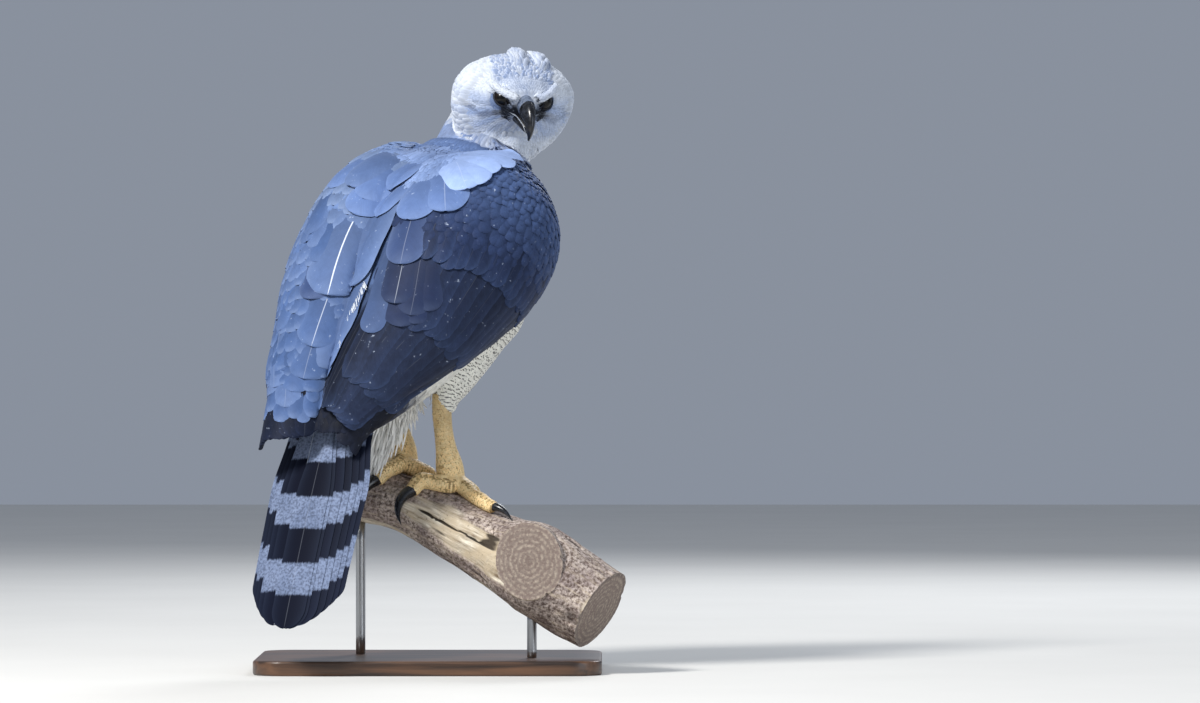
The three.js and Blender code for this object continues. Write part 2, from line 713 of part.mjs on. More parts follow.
const hands = [1, -1];
const headCore = cut(join([headBody(0), hands.map(brow)]), hands.map(orbit));
const plumes = cut(join(headFeathers()), [neckRoom]);
const headWhole = smoothed(join([headCore, hands.map(lids), plumes]), HEAD_SMOOTHING);
const eyeRoom = hands.map((hand) => ball(EYE.radius + GAP, eyeAt(hand), 12));
add("head", cut(headWhole, [trunkRoom, ...eyeRoom, billRoom, lowerBillRoom, ...hands.map(mouthLine)]), PALE_GREY);
hands.forEach((hand) => add(`eye_${hand > 0 ? "left" : "right"}`, ball(EYE.radius, eyeAt(hand), 12), DARK_EYE));

add("cere", cut(billForm.body(0, CERE_END, 4, 16), [...hands.map(nostril), ...eyeRoom]), GREY_CERE);
add("bill_upper", cut(billForm.body(CERE_END, 7, 10, 16), [billForm.body(0, CERE_END, 4, 16, GAP)]), BLACK_HORN);
add("bill_lower", cut(lowerBillForm.body(0, 4, 6, 14), [billRoom]), BLACK_HORN);

add("tail", cut(tailBody(), [trunkRoom]), BARRED);
add("perch_branch", branchBody(), BARK);

[1, -1].forEach((side) => {
  const hand = side > 0 ? "right" : "left";
  const tiers = [...TIERS, ...SCAPULARS].map((tier) => tierOf(side, tier));
  const wing = smoothed(join([wingCore(side), ...tiers]), FEATHER_SMOOTHING);
  const room = [trunkRoom, thighRoom[side], tailRoom, neckRoom, headRoom, midline];
  add(`wing_${hand}`, cut(wing, room), DARK_SLATE);
  add(`thigh_${hand}`, cut(thighBody(side), [trunkRoom, branchRoom, tailRoom]), WHITE_DOWN);
  const leg = join([shankBody(side), ...TOES[side].map((toe) => toeBody(side, toe))]);
  add(`leg_${hand}`, cut(leg, [thighRoom[side], branchRoom, trunkRoom]), YELLOW_SKIN);
  TOES[side].forEach((toe) => {
    add(`claw_${hand}_${toe.name}`, cut(clawBody(side, toe), [...legRoom(side), branchRoom]), BLACK_HORN);
  });
});

function baseGeometry() {
  const { width, depth, height, corner, bevel } = BASE;
  const [x, y] = [width / 2 - bevel, depth / 2 - bevel];
  const r = corner - bevel;
  const outline = new THREE.Shape();
  outline.moveTo(-x + r, -y).lineTo(x - r, -y).absarc(x - r, -y + r, r, -PI / 2, 0);
  outline.lineTo(x, y - r).absarc(x - r, y - r, r, 0, PI / 2);
  outline.lineTo(-x + r, y).absarc(-x + r, y - r, r, PI / 2, PI);
  outline.lineTo(-x, -y + r).absarc(-x + r, -y + r, r, PI, 1.5 * PI);
  const rim = { bevelThickness: bevel, bevelSize: bevel, bevelSegments: 1, curveSegments: 3 };
  return new THREE.ExtrudeGeometry(outline, { depth: height - 2 * bevel, ...rim }).translate(0, 0, bevel);
}

add("stand_base", solid(baseGeometry()), STAND_WOOD);
ROD.places.forEach((x, i) => {
  const foot = branchMiddle(x, BASE.height + GAP);
  const height = 200;
  const rod = new THREE.CylinderGeometry(ROD.radius, ROD.radius, height, 16).rotateX(PI / 2);
  const whole = solid(rod.translate(foot.x, foot.y, foot.z + height / 2)).subtract(branchRoom);
  const below = whole.decompose().sort((a, b) => a.boundingBox().min[2] - b.boundingBox().min[2])[0];
  add(`stand_rod_${i + 1}`, below, STEEL);
});

export default root;
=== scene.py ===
"""Visual model of a life-size harpy eagle that stands on a cut branch and looks back over its shoulder."""

import math
from itertools import product

import bpy
import numpy as np
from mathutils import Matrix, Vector
from mathutils.bvhtree import BVHTree
from mathutils.kdtree import KDTree


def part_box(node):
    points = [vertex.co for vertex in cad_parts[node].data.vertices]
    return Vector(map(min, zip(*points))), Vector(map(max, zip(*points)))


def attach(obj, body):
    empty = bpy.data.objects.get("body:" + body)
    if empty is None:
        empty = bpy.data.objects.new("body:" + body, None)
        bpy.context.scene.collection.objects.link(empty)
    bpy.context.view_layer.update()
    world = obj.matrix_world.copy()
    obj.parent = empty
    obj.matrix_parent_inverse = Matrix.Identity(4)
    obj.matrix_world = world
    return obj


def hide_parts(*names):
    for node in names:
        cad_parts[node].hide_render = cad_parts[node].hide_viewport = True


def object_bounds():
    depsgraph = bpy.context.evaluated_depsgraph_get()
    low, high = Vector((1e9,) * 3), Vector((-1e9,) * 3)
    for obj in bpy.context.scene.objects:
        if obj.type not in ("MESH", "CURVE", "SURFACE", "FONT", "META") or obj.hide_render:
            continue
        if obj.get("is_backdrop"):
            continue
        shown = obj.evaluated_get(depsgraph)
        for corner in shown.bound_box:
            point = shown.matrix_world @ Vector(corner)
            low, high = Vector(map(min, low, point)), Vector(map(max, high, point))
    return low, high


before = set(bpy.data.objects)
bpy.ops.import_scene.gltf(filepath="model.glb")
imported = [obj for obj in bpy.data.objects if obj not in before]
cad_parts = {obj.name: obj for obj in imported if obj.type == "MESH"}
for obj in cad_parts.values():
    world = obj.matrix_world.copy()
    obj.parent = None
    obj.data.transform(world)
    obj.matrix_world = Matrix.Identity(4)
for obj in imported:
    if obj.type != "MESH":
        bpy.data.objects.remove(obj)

CAD_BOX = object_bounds()
MM = 0.001
PI = math.pi
rng = np.random.default_rng(4711)


# Numbers and directions


def unit(v):
    return v / np.maximum(np.linalg.norm(v, axis=-1, keepdims=True), 1e-9)


def ramp(low, high, x):
    s = np.clip((x - low) / (high - low), 0, 1)
    return s * s * (3 - 2 * s)


def mix(a, b, s):
    return a + (b - a) * s


def vary(amount, count=None):
    return rng.uniform(-amount, amount, count)


def uneven(amount, count):
    """Factors near 1."""
    return 1 + vary(amount, count)


def along(values, t):
    """Smooth value at t, counted in steps, through evenly spaced values."""
    v = np.asarray(values, float)
    v = np.concatenate([[2 * v[0] - v[1]], v, [2 * v[-1] - v[-2]]])
    t = np.clip(t, 0, len(v) - 3)
    i = np.minimum(np.asarray(t).astype(int), len(v) - 4)
    s = np.asarray(t - i)
    a, b, c, d = (v[i + k] for k in range(4))
    s = s.reshape(s.shape + (1,) * (a.ndim - s.ndim))
    return b + 0.5 * s * (c - a + s * (2 * a - 5 * b + 4 * c - d + s * (3 * (b - c) + d - a)))


def share(values, u):
    return along(values, np.asarray(u, float) * (len(values) - 1))


def noise(places, size, seed=0):
    """Smooth noise from -1 to 1 with features of one size, in the units of the places."""
    q = places / size + seed * 7.31
    cell = np.floor(q)
    f = q - cell
    f = f * f * (3 - 2 * f)
    total = 0.0
    for corner in product((0, 1), repeat=3):
        h = np.sin((cell + corner) @ np.array((12.9898, 78.233, 37.719))) * 43758.5453
        total = total + np.prod(np.where(np.array(corner) == 1, f, 1 - f), axis=-1) * (h - np.floor(h))
    return 2 * total - 1


def colour(text):
    """The linear values of an sRGB hex."""
    c = np.array([int(text[i : i + 2], 16) / 255 for i in (1, 3, 5)])
    return np.where(c <= 0.04045, c / 12.92, ((c + 0.055) / 1.055) ** 2.4)


# The body's forms, in millimetres, with the same stations as the solids


class Form:
    """Ovals along a bent line: each station is its centre, half width, height above and depth below."""

    def __init__(self, stations, side):
        self.rows = np.array([[*place, *size] for place, *size in stations], float)
        self.side = side

    def middle(self, t):
        return along(self.rows[:, :3], t)

    def axes(self, t):
        tangent = unit(self.middle(t + 0.03) - self.middle(t - 0.03))
        top = unit(np.cross(tangent, self.side))
        return tangent, top, np.cross(top, tangent)

    def at(self, t, angle):
        t, angle = np.broadcast_arrays(np.asarray(t, float), angle)
        _, top, side = self.axes(t)
        half, above, below = np.moveaxis(along(self.rows[:, 3:], t), -1, 0)
        rise = np.where(np.cos(angle) > 0, above, below) * np.cos(angle)
        return self.middle(t) + side * (half * np.sin(angle))[..., None] + top * rise[..., None]

    def outward(self, t, angle):
        last = len(self.rows) - 1
        lengthways = self.at(np.minimum(t + 0.03, last), angle) - self.at(np.maximum(t - 0.03, 0), angle)
        return unit(np.cross(lengthways, self.at(t, angle + 0.02) - self.at(t, angle - 0.02)))

    def raised(self, t, angle, height):
        t, angle = np.broadcast_arrays(np.asarray(t, float), angle)
        return self.at(t, angle) + self.outward(t, angle) * np.asarray(height)[..., None]


SIDES = ((1, "right"), (-1, "left"))
HEADING = math.radians(36)
FORWARD = np.array((math.sin(HEADING), math.cos(HEADING), 0))
RIGHT = np.array((math.cos(HEADING), -math.sin(HEADING), 0))
UP = np.array((0.0, 0.0, 1.0))


def bird(forward, right, up):
    return np.array((-9, 0, up)) + forward * FORWARD + right * RIGHT


# Stations forward, right and up, then half width, height above and depth below
TRUNK = [
    (88, 18, 646, 72, 52, 66), (62, 9, 598, 108, 80, 98), (23, 2, 544, 130, 99, 118),
    (-27, -2, 475, 124, 98, 112), (-74, -6, 406, 104, 80, 88), (-121, -14, 347, 74, 54, 56),
    (-150, -21, 308, 48, 32, 34), (-172, -24, 262, 40, 22, 24), (-190, -26, 214, 40, 18, 24)
]
trunk = Form([(bird(*row[:3]), *row[3:]) for row in TRUNK], RIGHT)
NECK = [
    (trunk.middle(np.array(0.25)), 68, 60, 46), ((68, 68, 664), 67, 62, 48), ((86, 64, 690), 61, 56, 44),
    ((98, 58, 714), 54, 50, 40)
]
neck = Form(NECK, RIGHT)

# The head's own directions: out of the face, to its left and out of the crown
HEAD_AT = np.array((106, 34, 717))
TURN, DROP, TILT = map(math.radians, (18, 24, -4))
FACE = np.array((math.sin(TURN) * math.cos(DROP), -math.cos(TURN) * math.cos(DROP), -math.sin(DROP)))
level = np.array((math.cos(TURN), math.sin(TURN), 0))
LEFT = level * math.cos(TILT) + np.cross(FACE, level) * math.sin(TILT)
CROWN = np.cross(FACE, LEFT)


def on_head(out, left, up):
    ahead, aside, above = (np.multiply.outer(v, way) for v, way in ((out, FACE), (left, LEFT), (up, CROWN)))
    return HEAD_AT + ahead + aside + above


def head_form(rows):
    return Form([(on_head(out, 0, up), *size) for out, up, *size in rows], LEFT)


HEAD = [
    (-72, 6, 4, 4, 4), (-64, 4, 38, 28, 40), (-44, 1, 64, 44, 68), (-20, -1, 79, 52, 84),
    (2, -2, 80, 52, 86), (18, -1, 66, 45, 72), (29, 0, 48, 37, 50), (38, 0, 31, 28, 32), (46, 0, 13, 14, 15)
]
head = head_form(HEAD)

WING = {
    "from": 0.42, "to": 5.9, "upper": [28, 9, 3, 1.5, 1.5, 1.5, 1.5],
    "lower": [92, 126, 130, 122, 104, 86, 68], "bulge": [0.35, 0.85, 1, 1, 0.8, 0.55, 0.3]
}
SPREAD = {-1: [-4, -9, -8, 0, 14, 29, 36], 1: [6, 12, 12, 9, 5, 0, 0]}


def wing_edges(t):
    u = np.clip((t - WING["from"]) / (WING["to"] - WING["from"]), 0, 1)
    return u, share(WING["upper"], u), share(WING["lower"], u)


def wing_at(t, angle, sink=0.0):
    """A folded wing's outer side, over the trunk. Angles are from the back's middle line, + on the right."""
    t, angle = np.broadcast_arrays(np.asarray(t, float), angle)
    u, upper, lower = wing_edges(t)
    v = np.clip((np.degrees(np.abs(angle)) - upper) / (lower - upper), 0, 1)
    spread = np.where(angle < 0, share(SPREAD[-1], u), share(SPREAD[1], u)) * np.sin(0.5 * PI * v)
    return trunk.raised(t, angle, 3 + 36 * share(WING["bulge"], u) * np.sin(PI * v) ** 0.7 + spread - sink)


LIFT = {1: 0, -1: 22}
THIGH = [
    (44, 40, 506, 34, 34, 36), (48, 56, 462, 60, 56, 60), (34, 50, 420, 47, 46, 48),
    (14, 44, 378, 33, 33, 36), (-4, 40, 344, 21, 22, 26), (-6, 38, 322, 15.5, 15.5, 17.5)
]
thigh = {
    s: Form([(bird(f, s * r, u + LIFT[s]), *size) for f, r, u, *size in THIGH], RIGHT) for s in (1, -1)
}


# Meshes


def facing_out(points, faces):
    """The faces, turned over if they enclose their volume inside out."""
    a, b, c = (points[faces[:, k]] for k in range(3))
    return faces if (np.cross(a, b) * c).sum() > 0 else faces[:, ::-1]


def mesh_of(name, points, faces):
    """A mesh from places in millimetres and faces that all have one count of corners."""
    data = bpy.data.meshes.new(name)
    data.vertices.add(len(points))
    data.vertices.foreach_set("co", (np.asarray(points) * MM).astype(np.float32).ravel())
    data.loops.add(faces.size)
    data.loops.foreach_set("vertex_index", faces.astype(np.int32).ravel())
    data.polygons.add(len(faces))
    data.polygons.foreach_set("loop_start", np.arange(0, faces.size, faces.shape[1], dtype=np.int32))
    data.update(calc_edges=True)
    data.shade_smooth()
    return data


def attribute(data, name, values):
    """A colour of four columns, or a vector of three, at each vertex."""
    kind = {3: ("FLOAT_VECTOR", "vector"), 4: ("FLOAT_COLOR", "color")}[values.shape[1]]
    layer = data.attributes.new(name, kind[0], "POINT")
    layer.data.foreach_set(kind[1], values.astype(np.float32).ravel())


def piece(name, data, slot, material, *nodes):
    obj = bpy.data.objects.new(name, data)
    bpy.context.scene.collection.objects.link(obj)
    data.materials.clear()
    data.materials.append(material)
    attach(obj, "root")
    if nodes:
        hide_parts(*nodes)
    return obj


def solid(name, shape, slot, material, *nodes):
    """A piece from the places and faces of a closed shape."""
    return piece(name, mesh_of(name, *shape), slot, material, *nodes)


def shell(rings):
    """Triangles through rings of places, with both ends closed at their middles."""
    count, around = rings.shape[:2]
    ends = [rings[0].mean(0), rings[-1].mean(0)]
    points = rings.reshape(-1, 3)
    i, j = np.meshgrid(np.arange(count - 1), np.arange(around), indexing="ij")
    a, b = i * around + j, i * around + (j + 1) % around
    quads = np.stack([a, b, b + around, a + around], -1).reshape(-1, 4)
    faces = np.concatenate([quads[:, [0, 1, 2]], quads[:, [0, 2, 3]]])
    first, last = np.arange(around), np.arange(around) + (count - 1) * around
    middle = len(points)
    caps = [np.stack([np.full(around, middle), np.roll(first, -1), first], -1)]
    caps.append(np.stack([np.full(around, middle + 1), last, np.roll(last, -1)], -1))
    points, faces = np.concatenate([points, ends]), np.concatenate([faces, *caps])
    return points, facing_out(points, faces)


def joined(shells):
    start = np.cumsum([0] + [len(points) for points, _ in shells])
    points = np.concatenate([points for points, _ in shells])
    return points, np.concatenate([faces + k for (_, faces), k in zip(shells, start)])


def ring_angles(around):
    return np.arange(around) * 2 * PI / around


def form_shell(form, t0, t1, rows, around, grow=0.0):
    t = np.linspace(t0, t1, rows)[:, None]
    return shell(form.raised(t, ring_angles(around)[None], np.full((rows, around), float(grow))))


def curve(points, steps):
    """Evenly spaced places and directions on a smooth line through points."""
    points = np.asarray(points, float)
    fine = along(points, np.linspace(0, len(points) - 1, 400))
    run = np.concatenate([[0], np.cumsum(np.linalg.norm(np.diff(fine, axis=0), axis=1))])
    wanted = np.linspace(0, run[-1], steps)
    places = np.stack([np.interp(wanted, run, fine[:, k]) for k in range(3)], -1)
    return places, unit(np.gradient(places, axis=0)), run[-1]


def tube(points, steps, around, radius, across):
    """A closed tube: radius is a function of the share of its length and the angle from its top."""
    places, tangent, _ = curve(points, steps)
    top = unit(np.cross(across, tangent))
    side = np.cross(tangent, top)
    u, angle = np.linspace(0, 1, steps)[:, None], ring_angles(around)[None]
    r = radius(u, angle) * np.ones((steps, around))
    ring = top[:, None] * (r * np.cos(angle))[..., None] + side[:, None] * (r * np.sin(angle))[..., None]
    return shell(places[:, None] + ring)


def remeshed(name, points, faces, voxel, rounds, factor=0.5):
    """One closed skin round overlapping shells, then smoothed."""
    source = bpy.data.objects.new(name + "_source", mesh_of(name + "_source", points, faces))
    bpy.context.scene.collection.objects.link(source)
    remesh = source.modifiers.new("remesh", "REMESH")
    remesh.mode, remesh.voxel_size = "VOXEL", voxel * MM
    smooth = source.modifiers.new("smooth", "SMOOTH")
    smooth.iterations, smooth.factor = rounds, factor
    graph = bpy.context.evaluated_depsgraph_get()
    data = bpy.data.meshes.new_from_object(source.evaluated_get(graph))
    data.name = name
    bpy.data.objects.remove(source)
    data.shade_smooth()
    return data


def places_of(data):
    flat = np.zeros(len(data.vertices) * 3, np.float32)
    data.vertices.foreach_get("co", flat)
    return flat.reshape(-1, 3).astype(float) / MM


# Feathers: thin closed vanes laid on a surface


class Surface:
    """A fine grid of places and outward directions over t, counted in stations, and an angle."""

    def __init__(self, at, t_span, a_span, tile):
        self.low = np.array((t_span[0], a_span[0]), float)
        self.high = np.array((t_span[1], a_span[1]), float)
        self.tile = tile
        counts = (int((t_span[1] - t_span[0]) / 0.04) + 2, int((a_span[1] - a_span[0]) / 0.03) + 2)
        t, a = (np.linspace(*span, count) for span, count in zip((t_span, a_span), counts))
        self.step = np.array((t[1] - t[0], a[1] - a[0]))
        place = at(t[:, None], a[None])
        per_t = np.gradient(place, axis=0) / self.step[0]
        per_a = np.gradient(place, axis=1) / self.step[1]
        size = np.linalg.norm(per_a, axis=-1, keepdims=True)
        self.grid = np.concatenate([place, unit(np.cross(per_t, per_a)), per_t, size], -1)

    def sample(self, t, a):
        """Place, outward direction, and millimetres to a step of t and of the angle."""
        spot = np.stack(np.broadcast_arrays(t, a), -1).astype(float)
        held = np.clip(spot, self.low, self.high)
        q = (held - self.low) / self.step
        i = np.minimum(q.astype(int), np.array(self.grid.shape[:2]) - 2)
        f = (q - i)[..., None]
        i, j = i[..., 0], i[..., 1]
        fi, fj = f[..., 0, :], f[..., 1, :]
        g = self.grid
        near, far = (g[i, k] * (1 - fi) + g[i + 1, k] * fi for k in (j, j + 1))
        s = near * (1 - fj) + far * fj
        per_t = s[..., 6:9]
        place = s[..., :3] + per_t * (spot - held)[..., :1]
        return place, unit(s[..., 3:6]), np.linalg.norm(per_t, axis=-1), s[..., 9]

    def lay(self, t, a, turn, x, y, aim=None):
        """Places and outward directions at x along a feather and y across it, from its root at t, a."""
        _, _, per_t, per_a = self.sample(t, a)
        kt, ka = (np.cos(turn) / per_t, np.sin(turn) / per_a) if aim is None else aim
        t, a = t + kt * x, a + ka * x
        _, _, per_t, per_a = self.sample(t, a)
        mt, ma = kt * per_t, ka * per_a
        size = np.hypot(mt, ma)
        place, out, _, _ = self.sample(t - y * ma / (size * per_t), a + y * mt / (size * per_a))
        return place, out


def vane_pattern(rows, columns):
    """Shares along and across, faces and rim of one closed vane, with both sides split alike."""
    wide = columns + 1
    i, j = (k.ravel() for k in np.meshgrid(np.arange(rows + 1), np.arange(wide), indexing="ij"))
    inner = (i > 0) & (i < rows) & (j > 0) & (j < columns)
    below = np.where(inner, len(i) + np.cumsum(inner) - 1, np.arange(len(i)))
    a = (np.arange(rows)[:, None] * wide + np.arange(columns)[None]).ravel()
    corners = np.stack([a, a + wide, a + wide + 1, a + 1], -1)
    under = below[corners]
    faces = [corners[:, [0, 1, 2]], corners[:, [0, 2, 3]], under[:, [0, 2, 1]], under[:, [0, 3, 2]]]
    order = np.concatenate([np.arange(len(i)), np.flatnonzero(inner)])
    ends, sides = np.arange(columns), np.arange(rows) * wide
    rim = np.concatenate([ends, ends + rows * wide, sides, sides + columns])
    step = np.concatenate([np.ones(2 * columns, int), np.full(2 * rows, wide)])
    return {
        "line": (i / rows)[order], "v": (2 * j / columns - 1)[order],
        "under": np.arange(len(order)) >= len(i), "first": np.arange(wide), "faces": np.concatenate(faces),
        "flat": np.repeat([False, True], 2 * len(a)), "rim": np.stack([rim, rim + step], -1)
    }


# Share of a vane's rows that lie before its end bends in
STRAIGHT = 0.4


class Coat:
    """Feathers gathered into one mesh."""

    def __init__(self):
        self.parts, self.roots = [], []

    def grow(
        self, surface, t, a, length, width, tint, grid=(5, 2), turn=0.0, aim=None, low=0.0, high=3.0,
        thick=0.5, camber=0.05, tilt=0.0, round_tip=1.0, root=0.55, drop=0.3, curl=0.0, sway=0.0, edge=None,
        rim=0.5, tip=0.5, dark=0.15, deep=0.25, shaft=0.0, settle=None, patch=0.003, place=None, ragged=0.0,
        origin=0.0
    ):
        """Adds feathers rooted at t, a. Every size may be one number or one for each feather. The end is
        round where round_tip is 1 and longer above it. Drop is the share of its height by which its rim
        bends down, and deep is the strength of the painted shade on its root, where the feathers above it
        would shade it."""
        pattern = vane_pattern(*grid)
        line, v = pattern["line"][None], pattern["v"][None]
        count = len(t)
        each = lambda value: np.broadcast_to(np.asarray(value, float), (count,))[:, None]
        length, width, low, high = map(each, (length, width, low, high))
        # Rows run straight to where the end bends in, then in even steps round it
        bend = np.clip(1 - each(round_tip) * width / (2 * length), 0.05, 0.9)
        round_it = 0.47 * PI * np.clip((line - STRAIGHT) / (1 - STRAIGHT), 0, 1)
        u = np.where(line < STRAIGHT, bend * line / STRAIGHT, bend + (1 - bend) * np.sin(round_it))
        half = mix(each(root), 1, ramp(0, 0.35, u)) * np.cos(round_it)
        if ragged:
            spot = np.broadcast_arrays(14 * u, 3 * v, 9.7 * np.arange(count)[:, None])
            half = half * (1 + ragged * noise(np.stack(spot, -1), 1.0) * (u > 0.2))
        y = v * half * width / 2 + each(sway) * width * u * u
        x = length * u
        h = mix(low, high, u**1.2) + camber * width * (1 - v * v) * ramp(0, 0.4, u)
        h = h + each(tilt) * v * width / 2
        h = h - each(drop) * high * np.maximum(ramp(0.72, 1, u), np.abs(v) ** 3 * ramp(0.2, 0.6, u))
        h = h + each(curl) * length * u * u - np.where(pattern["under"], thick, 0)
        if place is not None:
            points = place(x, y, h)
        else:
            base, out = surface.lay(each(t), each(a), each(turn), x, y, aim and tuple(map(each, aim)))
            if settle is not None:
                base, out = settle(base, out)
            points = base + out * h[..., None]
        tint = np.broadcast_to(tint, (count, 3))[:, None]
        shade = 1 - each(dark)[..., None] * ((1 - np.abs(v)) * ramp(0.1, 0.7, u))[..., None]
        # Painted shade: each root darkens where the feathers above lie over it
        shade = shade * (1 - each(deep)[..., None] * ramp(0.85, 0.35, u)[..., None])
        pale = np.maximum(each(rim) * np.abs(v) ** 3, each(tip) * ramp(0.78, 1, u))[..., None]
        edge = tint if edge is None else np.broadcast_to(edge, tint.shape[::2])[:, None]
        shown = mix(tint * shade, edge, pale)
        shown = np.concatenate([shown, each(shaft)[..., None] * np.ones_like(pale)], -1)
        vane = np.stack(np.broadcast_arrays(x - 1.1 * np.abs(y), v, x - each(origin)), -1)
        if surface is not None:
            spot = (np.stack([t, a], -1) - surface.low) / (surface.high - surface.low)
            corner = np.array(surface.tile[:2]) + np.clip(spot, 0, 1) * np.array(surface.tile[2:])
        else:
            corner = np.stack([(np.arange(count) + 0.5) / count, np.full(count, 0.5)], -1)
        patches = np.broadcast_to(np.asarray(patch, float), (2,))
        uv = corner[:, None] + np.stack(np.broadcast_arrays(v * patches[0] / 2, (u - 0.5) * patches[1]), -1)
        self.parts.append((pattern, points, shown, vane, uv))
        self.roots.append(np.concatenate([points[:, pattern["first"]].mean(1), tint[:, 0]], -1))

    def piece(self, name, slot, material, *nodes):
        points, faces, rims, start = [], [], [], 0
        for pattern, places, *_ in self.parts:
            count, each = places.shape[:2]
            offset = start + np.arange(count)[:, None, None] * each
            points.append(places.reshape(-1, 3))
            vanes = (pattern["faces"][None] + offset).reshape(-1, 3)
            faces.append(facing_out(np.concatenate(points), vanes))
            rims.append((pattern["rim"][None] + offset).reshape(-1, 2))
            start += count * each
        points, faces, rims = map(np.concatenate, (points, faces, rims))
        data = mesh_of(name, points, faces)
        flat = lambda k: np.concatenate([part[k].reshape(-1, part[k].shape[-1]) for part in self.parts])
        attribute(data, "tint", flat(2))
        attribute(data, "vane", flat(3))
        uv = data.uv_layers.new(name="OFBake")
        uv.uv.foreach_set("vector", np.clip(flat(4), 0, 1)[faces.ravel()].astype(np.float32).ravel())
        ends = np.zeros(len(data.edges) * 2, np.int32)
        data.edges.foreach_get("vertices", ends)
        key = lambda pairs: pairs.min(-1).astype(np.int64) * start + pairs.max(-1)
        sharp = data.attributes.new("sharp_edge", "BOOLEAN", "EDGE")
        sharp.data.foreach_set("value", np.isin(key(ends.reshape(-1, 2)), key(rims)))
        sharp = data.attributes.new("sharp_face", "BOOLEAN", "FACE")
        flats = [np.tile(pattern["flat"], len(places)) for pattern, places, *_ in self.parts]
        sharp.data.foreach_set("value", np.concatenate(flats))
        return piece(name, data, slot, material, *nodes)


# Materials


def add(tree, kind, inputs=None, **settings):
    """One node, with its settings, and its inputs linked or set by name or number."""
    made = tree.nodes.new("ShaderNode" + kind)
    for key, value in settings.items():
        setattr(made, key, value)
    for key, value in (inputs or {}).items():
        if isinstance(value, bpy.types.NodeSocket):
            tree.links.new(value, made.inputs[key])
        else:
            made.inputs[key].default_value = value
    return made


def material(name):
    made = bpy.data.materials.new(name)
    made.use_nodes = True
    made.node_tree.nodes.clear()
    return made, made.node_tree


def finished(made, inputs):
    shader = add(made.node_tree, "BsdfPrincipled", inputs)
    add(made.node_tree, "OutputMaterial", {"Surface": shader.outputs[0]})
    return made


def rgba(text):
    return (*colour(text), 1.0)


def blend(tree, amount, a, b):
    """A mix of two colours, each a socket or sRGB hex."""
    a, b = (rgba(v) if isinstance(v, str) else v for v in (a, b))
    return add(tree, "Mix", {0: amount, 6: a, 7: b}, data_type="RGBA").outputs[2]


def maths(tree, operation, *values):
    return add(tree, "Math", dict(enumerate(values)), operation=operation).outputs[0]


def times(tree, a, b):
    return maths(tree, "MULTIPLY", a, b)


def remap(tree, value, low, high, to_low=0.0, to_high=1.0, **settings):
    """Carries the values from low to high over to another range, and holds the rest at its ends."""
    return add(tree, "MapRange", {0: value, 1: low, 2: high, 3: to_low, 4: to_high}, **settings).outputs[0]


def cloudy(tree, place, scale, detail, rough=0.5):
    """Soft noise about one half, with features of 1 / scale metres where places are in metres."""
    inputs = {"Vector": place, "Scale": scale, "Detail": detail, "Roughness": rough}
    return add(tree, "TexNoise", inputs).outputs[0]


def stretched(tree, place, scale):
    return add(tree, "Mapping", {"Vector": place, "Scale": scale}).outputs[0]


def scaled(tree, tint, amount):
    return add(tree, "VectorMath", {0: tint, "Scale": amount}, operation="SCALE").outputs[0]


def bumped(tree, height, strength, distance):
    return add(tree, "Bump", {"Strength": strength, "Distance": distance, "Height": height}).outputs[0]


def here(tree):
    return add(tree, "TexCoord").outputs["Object"]


def stored(tree, name):
    return add(tree, "Attribute", attribute_name=name).outputs["Vector"]


def split(tree, vector):
    return add(tree, "SeparateXYZ", {0: vector}).outputs


def strip(tree, across, alpha, inner, outer, **settings):
    """The shaft: a strip down the vane's middle, as strong as its feather says."""
    across = maths(tree, "ABSOLUTE", across)
    return times(tree, remap(tree, across, inner, outer, 1.0, 0.0, **settings), alpha)


def plumage(name, barb, ridge, mottle, flecks=0.0, rough=0.62, sheen=0.2, gloss=0.3, bars=0.0):
    """Feather vanes of keratin: matt, with fine slanted barbs, a pale shaft and soft uneven colour. Barbs
    are 0.4 mm apart on the bird, too fine to show, so they are drawn a few times as coarse and irregular.
    Barb is their spacing in millimetres, ridge and mottle how much barbs and clouds darken, and bars the
    pitch of black bars."""
    made, tree = material(name)
    tint = add(tree, "Attribute", attribute_name="tint")
    part = split(tree, stored(tree, "vane"))
    place = here(tree)
    cloud = cloudy(tree, place, 1 / 0.011, 4, 0.6)
    turns, bend = times(tree, part[0], 1 / barb), times(tree, cloud, 6.0)
    strand = add(tree, "CombineXYZ", {0: turns, 1: part[1], 2: bend}).outputs[0]
    fibre = cloudy(tree, strand, 1.0, 2)
    light = maths(tree, "MULTIPLY_ADD", fibre, 2 * ridge, 1.0 - ridge)
    patchy = maths(tree, "MULTIPLY_ADD", cloud, 2 * mottle, 1 - mottle)
    shown = scaled(tree, tint.outputs["Color"], times(tree, light, patchy))
    if flecks:
        fine = cloudy(tree, place, 1 / 0.0045, 2)
        spots = times(tree, remap(tree, fine, 0.66, 0.74, 0.0, flecks), remap(tree, cloud, 0.5, 0.62))
        shown = blend(tree, spots, shown, "#c9d6ec")
    if bars:
        turns = maths(tree, "MULTIPLY_ADD", cloud, 4.0, times(tree, part[2], 2 * PI / bars))
        mark = remap(tree, maths(tree, "SINE", turns), 0.7, 0.9)
        mark = times(tree, mark, tint.outputs["Alpha"])
        shown = blend(tree, mark, shown, "#171921")
    else:
        mark = strip(tree, part[1], tint.outputs["Alpha"], 0.008, 0.028)
        shown = blend(tree, mark, shown, "#dfe6f2")
    bump = bumped(tree, fibre, 0.3, 0.0004)
    gleam = {"Roughness": rough, "Specular IOR Level": gloss, "Sheen Weight": sheen, "Sheen Roughness": 0.5}
    return finished(made, {"Base Color": shown, "Normal": bump, **gleam})


